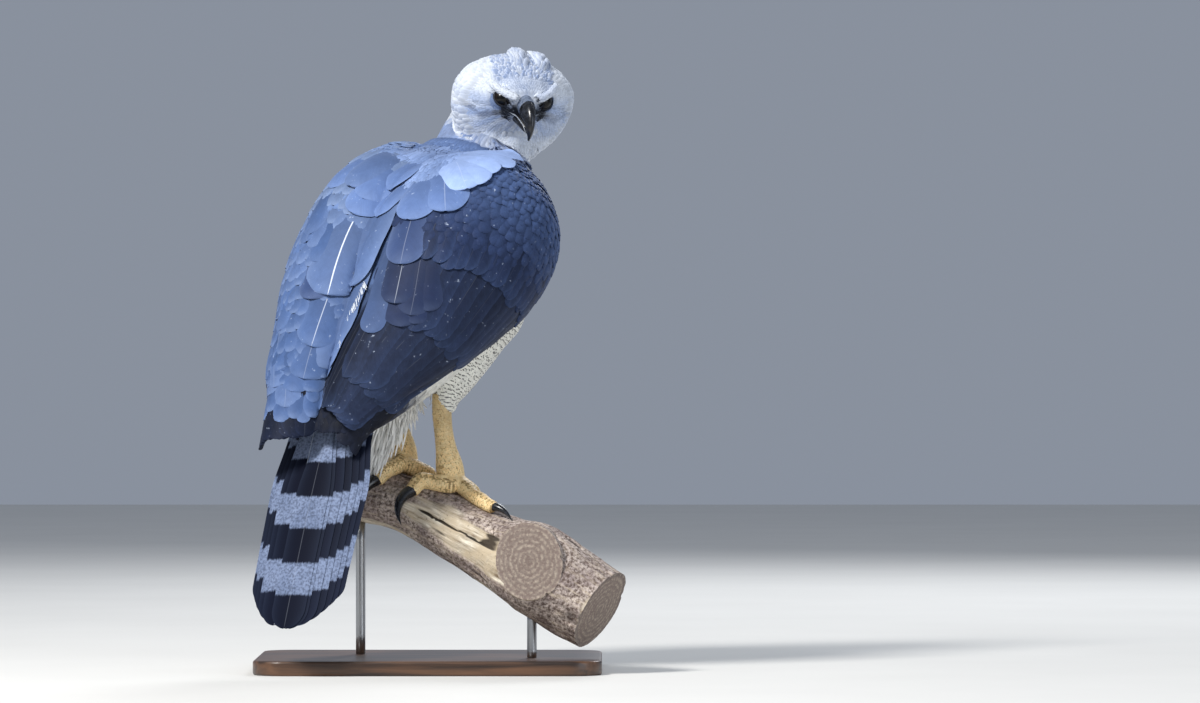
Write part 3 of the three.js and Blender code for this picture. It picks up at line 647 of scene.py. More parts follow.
DOWN = plumage("white_down", barb=0.9, ridge=0.1, mottle=0.07, rough=0.85, sheen=0.08, gloss=0.12)
SLATE = plumage(
    "slate_contour_feather", barb=1.0, ridge=0.16, mottle=0.2, flecks=0.3, sheen=0.05, gloss=0.15
)
BLUE_GREY = plumage(
    "blue_grey_scapular_feather", barb=1.0, ridge=0.12, mottle=0.2, flecks=0.4, rough=0.6, sheen=0.04,
    gloss=0.14
)
NAVY = plumage(
    "blackish_wing_feather", barb=1.2, ridge=0.3, mottle=0.4, flecks=0.55, rough=0.6, sheen=0.02, gloss=0.12
)
BARRED = plumage(
    "white_barred_thigh_feather", barb=0.9, ridge=0.1, mottle=0.08, rough=0.8, gloss=0.2, bars=7.5
)
PLATE = plumage("ochre_leg_plate", barb=2.0, ridge=0.12, mottle=0.3, rough=0.5, sheen=0.0, gloss=0.4)

# Colours of the plumage and the legs, as sRGB
TINTS = {
    "white": "#d8dfea", "crown": "#8fa2c8", "lore": "#1b202b", "cheek": "#8ea3cb", "fold": "#4b5a7a",
    "sky": "#98b0e0", "mantle": "#586f9c", "mantle_deep": "#486190", "deep": "#384b76", "slate": "#243050",
    "mist": "#697da2", "neck": "#8495b9", "collar": "#77799b", "shoulder": "#42557c", "wing": "#212d4b",
    "wing_black": "#222a40", "breast": "#20242e", "cream": "#e9e8df", "haze": "#6079ab", "edge": "#aabfe6",
    "ochre": "#dfbf88", "straw": "#e8d3a2", "crease": "#6e5432"
}
TINTS = {name: colour(value) for name, value in TINTS.items()}


# The skin under the feathers: one closed surface round the forms, a coat's depth inside them

BROW = [(42.5, 14.5, 15.6), (36.5, 24, 17.3), (27.5, 34.5, 20.5), (16, 43, 24.5)]
EYE = {"out": 27, "left": 26, "up": 8, "radius": 12.5, "turn": math.radians(23), "rise": 0.24}


def eye_at(hand):
    return on_head(EYE["out"], hand * EYE["left"], EYE["up"])


def gaze(hand):
    return unit(FACE * math.cos(EYE["turn"]) + LEFT * hand * math.sin(EYE["turn"]) + CROWN * EYE["rise"])


def opening(angle):
    """Half angle of the gap between the lids: wide towards the bill and the ear, low under the brow."""
    tall = np.where(np.sin(angle) > 0, 0.34, 0.6)
    return 1 / np.sqrt((np.cos(angle) / 0.98) ** 2 + (np.sin(angle) / tall) ** 2)


def wing_slab(side):
    t = np.linspace(WING["from"], WING["to"], 40)[:, None]
    _, upper, lower = wing_edges(t)
    v = np.linspace(0, 1, 25)[None]
    a = side * np.radians(mix(upper, lower, v))
    outer, inner = wing_at(t, a, 4.0), trunk.raised(t, a, np.full(a.shape, -8.0))
    return shell(np.concatenate([outer, inner[:, ::-1]], 1))


def brow_tube(hand):
    places = [on_head(out, hand * left, up) for out, left, up in BROW]
    size = lambda u, _: 5.6 * (1 - 0.35 * u) * (0.6 + 0.4 * np.sin(PI * np.minimum(1, u + 0.25)))
    return tube(places, 12, 12, size, CROWN)


shells = [
    form_shell(trunk, 0, 6, 40, 48, -5), form_shell(neck, 0, 3, 14, 40, -4),
    form_shell(head, 0.3, 8, 34, 48, -3), *(form_shell(thigh[s], 0, 5, 18, 28, -4) for s in (1, -1)),
    *(wing_slab(s) for s in (1, -1)), *(brow_tube(hand) for hand in (1, -1))
]
skin_mesh = remeshed("skin", *joined(shells), voxel=3.2, rounds=8)
skin_places = places_of(skin_mesh)
# Half width, height and depth of the hollow round each eye, and how far its middle lies before the eye's
HOLLOW, AHEAD = np.array([[19.0], [15.0], [11.0]]), 15
for hand in (1, -1):
    out = gaze(hand)
    across = unit(np.cross(CROWN, out))
    axes = np.stack([across, CROWN, out]) / HOLLOW
    local = (skin_places - eye_at(hand) - AHEAD * out) @ axes.T
    inside = (local**2).sum(-1) < 1
    depth = np.sqrt(np.clip(1 - local[:, 0] ** 2 - local[:, 1] ** 2, 0, 1))
    skin_places[inside] += (out * HOLLOW[2] * (-depth - local[:, 2])[:, None])[inside]
skin_mesh.vertices.foreach_set("co", (skin_places * MM).astype(np.float32).ravel())
skin_mesh.update()
corner_normals = np.zeros(len(skin_mesh.vertices) * 3, np.float32)
skin_mesh.vertices.foreach_get("normal", corner_normals)
corner_normals = corner_normals.reshape(-1, 3)
skin_faces = [tuple(face.vertices) for face in skin_mesh.polygons]
skin_outward = np.array([unit(corner_normals[list(face)].mean(0)) for face in skin_faces])
skin_tree = BVHTree.FromPolygons(skin_places.tolist(), skin_faces)


def nearest_skin(points):
    """The skin's nearest point to each place, and its outward direction there."""
    found = [skin_tree.find_nearest(Vector(p)) for p in points]
    return np.array([tuple(hit[0]) for hit in found]), skin_outward[[hit[2] for hit in found]]


def settle(base, out):
    """Moves places to the nearest point of the skin, with its outward directions there."""
    places, normals = nearest_skin(base.reshape(-1, 3))
    return places.reshape(base.shape), unit(normals.reshape(out.shape) + 0.4 * out)


def clear(base, out):
    """Moves places that lie inside the skin out to it."""
    depth = depth_in_skin(base.reshape(-1, 3)).reshape(base.shape[:-1])
    return base + out * np.clip(depth + 0.3, 0, 6)[..., None], out


def depth_in_skin(points):
    """Millimetres inside the skin at each place, under 0 outside it."""
    places, normals = nearest_skin(points)
    return -((points - places) * normals).sum(-1)


FULL = (-1.25 * PI, 1.25 * PI)
on_trunk = Surface(trunk.at, (0, 7.9), FULL, (0.02, 0.02, 0.46, 0.46))
on_neck = Surface(neck.at, (0, 3), FULL, (0.52, 0.02, 0.46, 0.2))
head_surface = Surface(head.at, (0.2, 8), FULL, (0.52, 0.26, 0.46, 0.7))
on_thigh = {
    s: Surface(thigh[s].at, (0, 5), FULL, (0.02, 0.52 + 0.24 * (s < 0), 0.46, 0.2)) for s in (1, -1)
}
WHOLE = (0.02, 0.02, 0.96, 0.96)
on_wing = {s: Surface(wing_at, (0.2, 7.6), sorted((-0.1 * s, 2.6 * s)), WHOLE) for s in (1, -1)}
on_brow, on_lid = {}, {}


def lid_at(hand):
    """A ball round each eye: t is the angle from its gaze, and the other runs round it from the bill."""
    out = gaze(hand)
    inward = unit(FACE - out * (FACE @ out))
    upward = unit(CROWN - out * (CROWN @ out) - inward * (CROWN @ inward))

    def at(t, angle):
        t, angle = (v[..., None] for v in np.broadcast_arrays(t, angle))
        flat = np.cos(angle) * inward + np.sin(angle) * upward
        radius = 14.6 + 3.0 * ramp(1.0, 1.9, t)
        return eye_at(hand) + radius * (np.cos(t) * out + np.sin(t) * flat)

    return at


for hand in (1, -1):
    on_lid[hand] = Surface(lid_at(hand), (0.3, 1.9), FULL, (0.9, 0.9, 0.08, 0.08))
    line = Form([(on_head(out, hand * left, up), 5.0, 5.0, 5.0) for out, left, up in BROW], FACE)
    on_brow[hand] = Surface(line.at, (0, 3), FULL, (0.8, 0.9, 0.08, 0.08))


# Share of the gap between feathers by which their roots stray
LOOSE = 0.25


def rows_of(surface, t_span, gap, a_span=(-PI, PI)):
    """Roots in staggered rows, a gap apart along and across."""
    roots, t, odd = [], t_span[0], False
    while t < t_span[1]:
        angles = np.linspace(*a_span, 25)
        _, _, per_t, per_a = surface.sample(np.full(25, t), angles)
        count = max(3, int(per_a.mean() * (a_span[1] - a_span[0]) / gap[1]))
        a = a_span[0] + (np.arange(count) + 0.5 * odd + 0.25) / count * (a_span[1] - a_span[0])
        a = a + vary(LOOSE, count) * gap[1] / per_a.mean()
        roots.append(np.stack([t + vary(LOOSE, count) * gap[0] / per_t.mean(), a], -1))
        t += gap[0] / per_t.mean()
        odd = not odd
    return np.concatenate(roots).T


def keep(mask, *arrays):
    return [array[mask] for array in arrays]


def rooted(surface, t, a, deepest):
    """The roots that lie no more than so many millimetres inside the skin, with their places."""
    points = surface.sample(t, a)[0]
    return keep((np.abs(a) <= PI) & (depth_in_skin(points) < deepest), t, a, points)


# Head and neck feathers


def head_places(points):
    rel = points - HEAD_AT
    return rel @ FACE, rel @ LEFT, rel @ CROWN


def to_line(points, start, end):
    """Distance from each place to a straight line between two others."""
    run = end - start
    s = np.clip((points - start) @ run / (run @ run), 0, 1)
    return np.linalg.norm(points - start - s[:, None] * run, axis=-1)


# Lines on the face: their ends, each out, aside and up, and how much fainter they are than the first
# Painted shadow along folds of the cheeks: back from the mouth's corner and under the eye
SHADOW_FOLDS = [((38, 28, -8), (30, 45, -14), 0), ((30, 45, -14), (21, 62, -9), 2), ((36, 36, 1), (24, 57, -1), 4)]
LORES = [((36, 22, 7), (40, 21, -6), 0), ((33, 29, 4), (33, 26, -8), 0)]


def to_marks(points, marks):
    """Distance from each place to the nearest of some lines on the face, alike on both sides."""
    both = [[on_head(out, h * left, up) for out, left, up in (a, b)] for a, b, _ in marks for h in (1, -1)]
    fainter = np.repeat([more for *_, more in marks], 2)
    return np.min([to_line(points, *ends) + more for ends, more in zip(both, fainter)], axis=0)


def on_crown(points):
    """How much of the scaly grey crown shows at each place."""
    out, left, up = head_places(points)
    return ramp(17, 26, up) * ramp(-48, -24, out) * ramp(42, 28, np.abs(left))


def head_tint(points):
    """White hood, blue-grey cheeks streaked back from the bill, scaly grey crown, black lores, and painted
    shadow along folds of the cheeks.
    """
    out, left, up = head_places(points)
    spoke = np.arctan2(left, -up + 6)
    streak = noise(np.stack([7.0 * spoke, 0.035 * out, 0 * out], -1), 1.0, 2)
    face = ramp(-20, 14, out + 5 * streak) * ramp(-52, -26, up) * (1 - 0.9 * ramp(2, 16, up))
    blue = np.clip(face * (0.55 + 0.65 * streak), 0, 1)
    tint = mix(TINTS["white"], TINTS["cheek"], blue[:, None])
    tint = mix(tint, TINTS["crown"], (on_crown(points) * (0.7 + 0.3 * noise(points, 7.0, 5)))[:, None])
    tint = tint * (1 - 0.1 * ramp(0.1, 0.7, noise(points, 9.0, 11)))[:, None]
    # Painted shadow in the cheek folds, weaker on the head's left side
    fold = ramp(8.0, 2.0, to_marks(points, SHADOW_FOLDS) + 3 * streak)
    tint = mix(tint, TINTS["fold"], ((0.8 - 0.25 * (left > 0)) * fold)[:, None])
    return mix(tint, TINTS["lore"], ramp(11, 3.5, to_marks(points, LORES) + 2 * streak)[:, None])


def near_bill(points):
    out, left, up = head_places(points)
    return (out > 31) & (np.abs(left) < 9 + 0.3 * (46 - out)) & (up < 20) & (up > -23)


def to_eyes(points):
    return np.min([np.linalg.norm(points - eye_at(hand), axis=-1) for hand in (1, -1)], axis=0)


t, a, points = rooted(head_surface, *rows_of(head_surface, (0.15, 7.7), (2.9, 2.7)), 4)
t, a, points = keep((to_eyes(points) > 17.5) & ~near_bill(points), t, a, points)
out, left, up = head_places(points)
face = ramp(-14, 26, out)
crown = on_crown(points)
size = mix(15.0, 7.5, face) * uneven(0.15, len(t))
wide = mix(6.5, 2.9, face) * uneven(0.15, len(t))
tint = head_tint(points) * uneven(0.04, (len(t), 1))
turn = PI + vary(0.14, len(t)) + 0.35 * noise(points, 22.0, 6)
lumps = ramp(0.0, 0.7, noise(points, 17.0, 8)) * ramp(12, -14, out)
hood = []
big = crown * ramp(26, 18, out) > 0.5
for name, half in (("face", ~big & (out > 4)), ("hood", ~big & (out <= 4))):
    coat = Coat()
    part = lambda value: value[half]
    coat.grow(
        head_surface, part(t), part(a), part(size), part(wide), part(tint), turn=part(turn),
        high=part(mix(1.4, 0.7, face) + 1.6 * lumps) * uneven(0.08, half.sum()), thick=0.15, camber=0.08,
        edge=TINTS["white"], rim=part(0.15 + 0.3 * crown), tip=part(0.15 + 0.4 * crown),
        dark=part(0.03 + 0.2 * crown), settle=settle, round_tip=1.5, tilt=vary(0.03, half.sum())
    )
    hood.append(coat)
# The crown is scaly: broader feathers with grey middles and white rims
t, a = rows_of(head_surface, (1.5, 6.2), (3.9, 3.9))
t, a = keep(np.abs(a) <= 1.2, t, a)
points = head_surface.sample(t, a)[0]
out, left, up = head_places(points)
t, a, points, out = keep(on_crown(points) * ramp(29, 20, out) > 0.4, t, a, points, out)
hood[0].grow(
    head_surface, t, a, 10.5 * uneven(0.25, len(t)) * ramp(60, 0, out), 5.4 * uneven(0.25, len(t)),
    mix(TINTS["crown"], TINTS["white"], (0.75 * rng.random(len(t)) ** 1.5)[:, None]), grid=(6, 4),
    turn=PI + vary(0.45, len(t)), low=0.3, high=2.0 + vary(0.7, len(t)), thick=0.2, camber=0.11,
    edge=TINTS["white"], tip=0.7, dark=0.2, settle=settle, tilt=vary(0.1, len(t))
)
for name, coat in zip(("face", "hood"), hood):
    coat.piece(f"{name}_feathers", "pale_plumage", DOWN)

# Round each eye small feathers lie back from the lids: white above, black before it, grey behind and below
brows = Coat()
for hand in (1, -1):
    ring, spoke = np.meshgrid(np.arange(7), np.linspace(-PI, PI, 64, endpoint=False), indexing="ij")
    a = spoke.ravel() + vary(0.04, ring.size) + 0.05 * (ring.ravel() % 2)
    t = opening(a) + 0.13 + 0.12 * ring.ravel() + vary(0.02, ring.size)
    points = on_lid[hand].sample(t, a)[0]
    t, a, points = keep(~near_bill(points) & (t < 1.75), t, a, points)
    before = ramp(0.3, 0.75, np.cos(a)) * ramp(0.45, 0.1, np.sin(a))
    tint = mix(mix(TINTS["cheek"], TINTS["fold"], 0.5), TINTS["white"], ramp(-0.1, 0.4, np.sin(a))[:, None])
    tint = mix(tint, TINTS["fold"], (0.9 * ramp(0.5, 0.1, np.abs(np.sin(a))) * (np.cos(a) < 0))[:, None])
    tint = mix(tint, TINTS["lore"], before[:, None]) * uneven(0.06, (len(t), 1))
    brows.grow(
        on_lid[hand], t, a, 4.6 + vary(0.7, len(t)), 2.0, tint,
        turn=vary(0.2, len(t)) + 0.5 * np.sin(a + 0.6) * (np.cos(a) < 0), high=0.6, thick=0.15, camber=0.08,
        round_tip=1.6, rim=0.0, tip=0.1, dark=0.05, settle=clear
    )
    t, a = rows_of(on_brow[hand], (-0.2, 2.7), (2.1, 2.3))
    t, a = keep(np.abs(a) <= PI, t, a)
    points = on_brow[hand].sample(t, a)[0]
    grey = 0.6 + 0.4 * noise(points, 5.0, 4)
    over = ramp(-0.2, 0.9, (points - on_brow[hand].sample(t, 0 * a)[0]) @ CROWN / 5)
    brows.grow(
        on_brow[hand], t, a, 5.5 + vary(1.0, len(t)), 2.5,
        mix(TINTS["white"], mix(head_tint(points), TINTS["crown"], 0.4), (0.9 * over * grey)[:, None]),
        turn=vary(0.25, len(t)), low=-0.5, high=0.7 + vary(0.2, len(t)), thick=0.15, camber=0.08,
        round_tip=1.6, rim=0.1, tip=0.2, dark=0.08
    )
brows.piece("brow_and_lid_feathers", "pale_plumage", DOWN)

t, a, points = rooted(on_neck, *rows_of(on_neck, (-0.1, 3.0), (4.0, 3.9)), 4)
# The hood's white reaches down the neck to a slanted line, with a ragged edge
white = ramp(-3, 8, points[:, 2] - 693 + 0.5 * (points[:, 0] - 20) + vary(3, len(t)))
grey = ramp(-0.3, 0.6, noise(points, 13.0, 3))
tint = mix(TINTS["neck"], TINTS["collar"], (ramp(1.0, 2.0, t) * ramp(60, 95, points[:, 0]))[:, None])
tint = mix(tint, TINTS["sky"], 0.5 * grey[:, None]) * uneven(0.08, (len(t), 1))
tint = mix(tint, TINTS["white"], white[:, None])
# They lie flat on the skin, away from the head, and bend down with it
base, out = settle(*on_neck.sample(t, a)[:2])
away = base - HEAD_AT
away = unit(away - out * (away * out).sum(-1)[:, None])
away = unit(away + np.cross(out, away) * vary(0.22, len(t))[:, None])
beside = np.cross(out, away)


def flat_on_neck(x, y, h):
    flat = base[:, None] + away[:, None] * x[..., None] + beside[:, None] * y[..., None]
    return flat + out[:, None] * (h - x * x / 120)[..., None]


nape = Coat()
nape.grow(
    on_neck, t, a, mix(16, 19, white) * uneven(0.2, len(t)), mix(7.5, 5.5, white) * uneven(0.15, len(t)),
    tint, high=mix(1.3, 1.6, white) + vary(0.15, len(t)), place=flat_on_neck, thick=0.2, camber=0.06,
    edge=TINTS["edge"], rim=0.12, tip=0.15, dark=0.12, tilt=vary(0.05, len(t)), round_tip=1.3
)
nape.piece("neck_feathers", "slate_plumage", SLATE)


# Body feathers: slate back, black band on the breast, white belly and vent


def trunk_tint(t, a):
    """Slate back, black breast band, white underparts, and a blackish rump that is partly painted shade."""
    under = ramp(math.radians(92), math.radians(112), np.abs(a) + 0.1 * np.sin(7 * t + 3 * a))
    band = ramp(2.35, 1.8, t + 0.12 * np.sin(5 * a))
    # Behind t 4.2 to 4.7 the white underparts give way to the back's colours, blackening rearward: partly
    # the rump's own dark feathers, partly painted shade under the wings and over the tail
    under = under * ramp(4.7, 4.2, t - 0.7 * ramp(2.3, 2.8, np.abs(a)))
    back = mix(TINTS["mantle"], TINTS["wing_black"], ramp(3.2, 4.6, t)[:, None])
    below = mix(TINTS["cream"], TINTS["breast"], band[:, None])
    return mix(back, below, under[:, None])


def under_wing(t, a, margin=7.0):
    _, upper, lower = wing_edges(t)
    degrees = np.degrees(np.abs(a))
    return (t > WING["from"] + 0.25) & (t < 4.9) & (degrees > upper + margin) & (degrees < lower - margin)


# Finer rows at the base of the neck
rows = [rows_of(on_trunk, *row) for row in (((0.0, 1.0), (4.8, 4.8)), ((1.0, 6.5), (8.0, 8.0)))]
t, a, _ = rooted(on_trunk, *np.concatenate(rows, 1), 1.5)
t, a = keep(~under_wing(t, a), t, a)
tint = trunk_tint(t, a) * uneven(0.07, (len(t), 1))
rump = ramp(4.6, 5.6, t)
body = Coat()
body.grow(
    on_trunk, t, a, mix(27, 56, rump) * mix(0.62, 1, ramp(0.6, 1.2, t)) * uneven(0.15, len(t)),
    mix(15, 25, rump) * mix(0.58, 1, ramp(0.6, 1.2, t)), tint, turn=vary(0.15, len(t)), low=0.3,
    high=mix(1.6, 3.0, ramp(0.6, 1.2, t)), thick=0.25, camber=0.06, edge=TINTS["edge"] * 0.8, rim=0.1,
    tip=0.12, dark=0.1, settle=settle, tilt=vary(0.08, len(t))
)
# Blackish coverts hang from the rump over the root of the tail
t, a = rows_of(on_trunk, (5.0, 5.75), (10.0, 9.0), (math.radians(-80), math.radians(105)))
body.grow(
    on_trunk, t, a, 44 + vary(6, len(t)), 24, TINTS["wing_black"] * (0.4 + vary(0.1, (len(t), 1))),
    grid=(8, 4), turn=vary(0.1, len(t)), low=1.0, high=4.5 + vary(0.6, len(t)), thick=0.3, camber=0.06,
    edge=TINTS["slate"], rim=0.08, tip=0.1, dark=0.1
)
body.piece("body_feathers", "slate_plumage", SLATE)

# Thighs: short barred feathers, then long loose plumes that hang over the top of the shank
PLUMES = {
    1: {"t": (2.6, 4.2), "a": (-110, 110), "end": (-3, 20, 330), "reach": (0.3, 0.5), "count": 60},
    -1: {"t": (2.2, 3.7), "a": (-80, 100), "end": (-74, -18, 232), "reach": (0.9, 1.0), "count": 900}
}
thigh_coats = []
for side, name in SIDES:
    surface, hang = on_thigh[side], PLUMES[side]
    t, a, _ = rooted(surface, *rows_of(surface, (0.2, 4.95), (5.0, 4.6)), 2.5)
    coat = Coat()
    down = ramp(2.0, 4.6, t)
    tint = TINTS["cream"] * uneven(0.06, (len(t), 1))
    coat.grow(
        surface, t, a, mix(24, 15, down) * uneven(0.15, len(t)), mix(11, 6.5, down), tint, grid=(6, 2),
        turn=vary(0.12, len(t)), low=0.2, high=mix(2.0, 1.1, down), thick=0.2, round_tip=1.4, rim=0.1,
        tip=0.2, dark=0.1, shaft=0.85, settle=settle, tilt=vary(0.08, len(t))
    )
    count = hang["count"]
    t = rng.uniform(*hang["t"], count)
    a = np.radians(rng.uniform(*hang["a"], count))
    base, out, *_ = surface.sample(t, a)
    out = unit(out * (1, 1, 0))
    rise = 98 * rng.random(count) ** 1.2 * (side < 0)
    fan = rng.random(count) * np.interp(rise, (0, 14, 47, 84, 98), (3, 12, 36, 66, 72))
    run = np.array(hang["end"]) + np.stack([fan, 0 * fan, rise], -1) + vary(5, (count, 3)) - base
    across = unit(np.cross(run, out))
    reached = rng.uniform(*hang["reach"], count)

    def hung(x, y, h):
        s = x / x.max(axis=1, keepdims=True) * reached[:, None]
        down = run[:, None] * s[..., None] + UP * (-14 * s * (1 - s))[..., None]
        raised = base[:, None] + out[:, None] * (h + 5 * s * (1 - s))[..., None]
        return raised + across[:, None] * y[..., None] + down

    coat.grow(
        surface, t, a, np.linalg.norm(run, axis=1) * reached, 2.2 + vary(0.8, count),
        colour("#f4f4f1") * (0.96 + vary(0.04, (count, 1))), grid=(12, 2), low=-3.0,
        high=0.5 + vary(1.0, count), thick=0.3, camber=0.08, rim=0.0, tip=0.0, dark=0.12,
        shaft=0.7 if side > 0 else 0.0, place=hung, round_tip=6.0, drop=0, sway=vary(0.6, count)
    )
    coat.piece(f"thigh_feathers_{name}", "white_plumage", BARRED)
    thigh_coats.append(coat)


# Wings: tiers of flight feathers and coverts, each given by t and angle of the root and tip of its first and
# last feather, then count, width, lift and grid, with angles from the middle line of the back
TIERS = [
    ((3.9, 22, 5.9, 8), (3.3, 102, 6.2, 56), 12, 34, 2.2, (16, 6)),
    ((3.3, 30, 5.2, 26), (2.6, 110, 5.3, 82), 14, 38, 2.8, (16, 6)),
    ((2.7, 34, 4.1, 38), (2.0, 113, 4.1, 104), 15, 36, 3.3, (12, 6)),
    ((2.2, 32, 3.2, 38), (1.5, 116, 3.0, 114), 17, 31, 3.8, (10, 4))
]
# Span of t, gap along and across, then length and width of the small coverts
COVERTS = [
    ((1.9, 2.7), (13, 12), (36, 20)), ((1.2, 2.05), (9.5, 9), (26, 14)), ((0.55, 1.3), (6.6, 6.2), (18, 9.5))
]
# Root t and angle, tip t and angle, width, lift, tint and strength of the pale shaft; on the left wing the
# angle is under 0. They run from the lowest to the highest.
SCAPULARS = [
    (3.04, 8, 5.10, -6, 57, 5, "mantle", 0), (3.04, -44, 5.66, -42, 44, 5, "mantle", 0.1),
    (2.78, -54, 4.48, -42, 43, 5, "mantle_deep", 0), (3.84, -48, 5.80, -47, 34, 5, "mantle", 0),
    (5.30, -18, 6.35, -12, 18, 6, "mantle", 0), (5.06, -15, 5.88, -7, 16, 6.5, "mantle_deep", 0),
    (4.60, -31, 6.10, -29, 44, 5, "mantle", 0.1), (4.60, -22, 5.76, -24, 44, 6, "mantle_deep", 0),
    (4.00, -13, 5.42, -15, 54, 7, "mantle_deep", 0.15), (3.40, -10, 4.80, -15, 60, 8, "mantle_deep", 0.5),
    (2.90, -19, 3.98, -21, 52, 8, "deep", 0), (2.18, -2, 3.70, 4, 76, 8, "mantle", 0),
    (2.30, -10, 3.90, -10, 84, 11, "mantle", 0.95), (2.30, -20, 3.38, -22, 46, 8, "mantle_deep", 0),
    (2.20, -35, 3.16, -26, 40, 7, "mantle", 0), (1.88, -49, 3.06, -34, 40, 7, "mantle_deep", 0.1),
    (1.56, -46, 2.96, -33, 46, 8, "mantle_deep", 0), (1.90, 12, 2.62, 0, 54, 10, "haze", 0.2),
    (1.75, 0, 2.66, -12, 62, 11, "haze", 0), (1.30, -20, 2.14, -40, 58, 9, "haze", 0),
    (1.10, -12, 2.22, -22, 67, 11, "mantle", 0), (1.40, -4, 2.42, -10, 60, 12, "haze", 0),
    (2.30, 24, 3.34, 33, 54, 9, "deep", 0.15), (1.80, 24, 2.76, 27, 58, 11, "haze", 0),
    (1.66, 28, 2.54, 41, 60, 11.5, "haze", 0.2), (1.40, 28, 2.10, 46, 56, 12.5, "sky", 0.12),
    (1.50, 24, 1.86, 52, 44, 13, "sky", 0), (1.50, 24, 1.52, 55, 36, 13.5, "sky", 0),
    (1.56, 22, 1.12, 61, 30, 14, "sky", 0), (1.62, 20, 0.36, 68, 26, 14.5, "sky", 0.1),
    (1.20, 4, 2.18, 2, 52, 13, "haze", 0), (3.10, 24, 4.42, 30, 36, 6, "shoulder", 0),
    (3.40, 31, 4.16, 47, 44, 7, "slate", 0), (3.40, 44, 4.04, 53, 40, 7, "slate", 0),
    (3.00, 41, 3.80, 55, 34, 8, "slate", 0), (3.00, 38, 3.96, 48, 40, 9, "slate", 0.1),
    (3.00, 30, 3.88, 38, 46, 10.5, "slate", 0.35)
]
# The left scapulars end in a white fringe over the gap between the wings
FRINGE = [(3.62, 12), (4.02, 8), (4.3, 1), (4.58, 4), (4.8, 0), (5.1, -6)]


def reach(surface, t0, a0, t1, a1):
    """Length of each line on a surface, and its steps of t and of the angle to a millimetre."""
    s = np.linspace(0, 1, 16)
    line = surface.sample(mix(t0[:, None], t1[:, None], s), mix(a0[:, None], a1[:, None], s))[0]
    length = np.linalg.norm(np.diff(line, axis=1), axis=-1).sum(-1)
    return length, ((t1 - t0) / length, (a1 - a0) / length)


def wing_tint(side, t, a):
    """Painted light and shade: pale blue-grey over the lit left wing's inner half, blackish navy over the
    shaded right wing; the quills are blackish on both.
    """
    degrees = np.abs(np.degrees(a))
    shoulder = mix(TINTS["shoulder"], TINTS["wing"], ramp(1.2, 2.6, t)[:, None])
    black = mix(shoulder, TINTS["wing_black"], ramp(3.4, 4.8, t)[:, None])
    if side > 0:
        near_neck = ramp(1.25, 0.85, t + 0.03 * (degrees - 34)) * ramp(60, 40, degrees)
        return mix(black, TINTS["mantle"], near_neck[:, None])
    pale = mix(TINTS["mist"], TINTS["mantle"], ramp(1.6, 2.8, t)[:, None])
    pale = mix(pale, TINTS["mantle_deep"], ramp(2.5, 4.4, t)[:, None])
    return mix(pale, black, ramp(5.6, 6.0, t)[:, None])


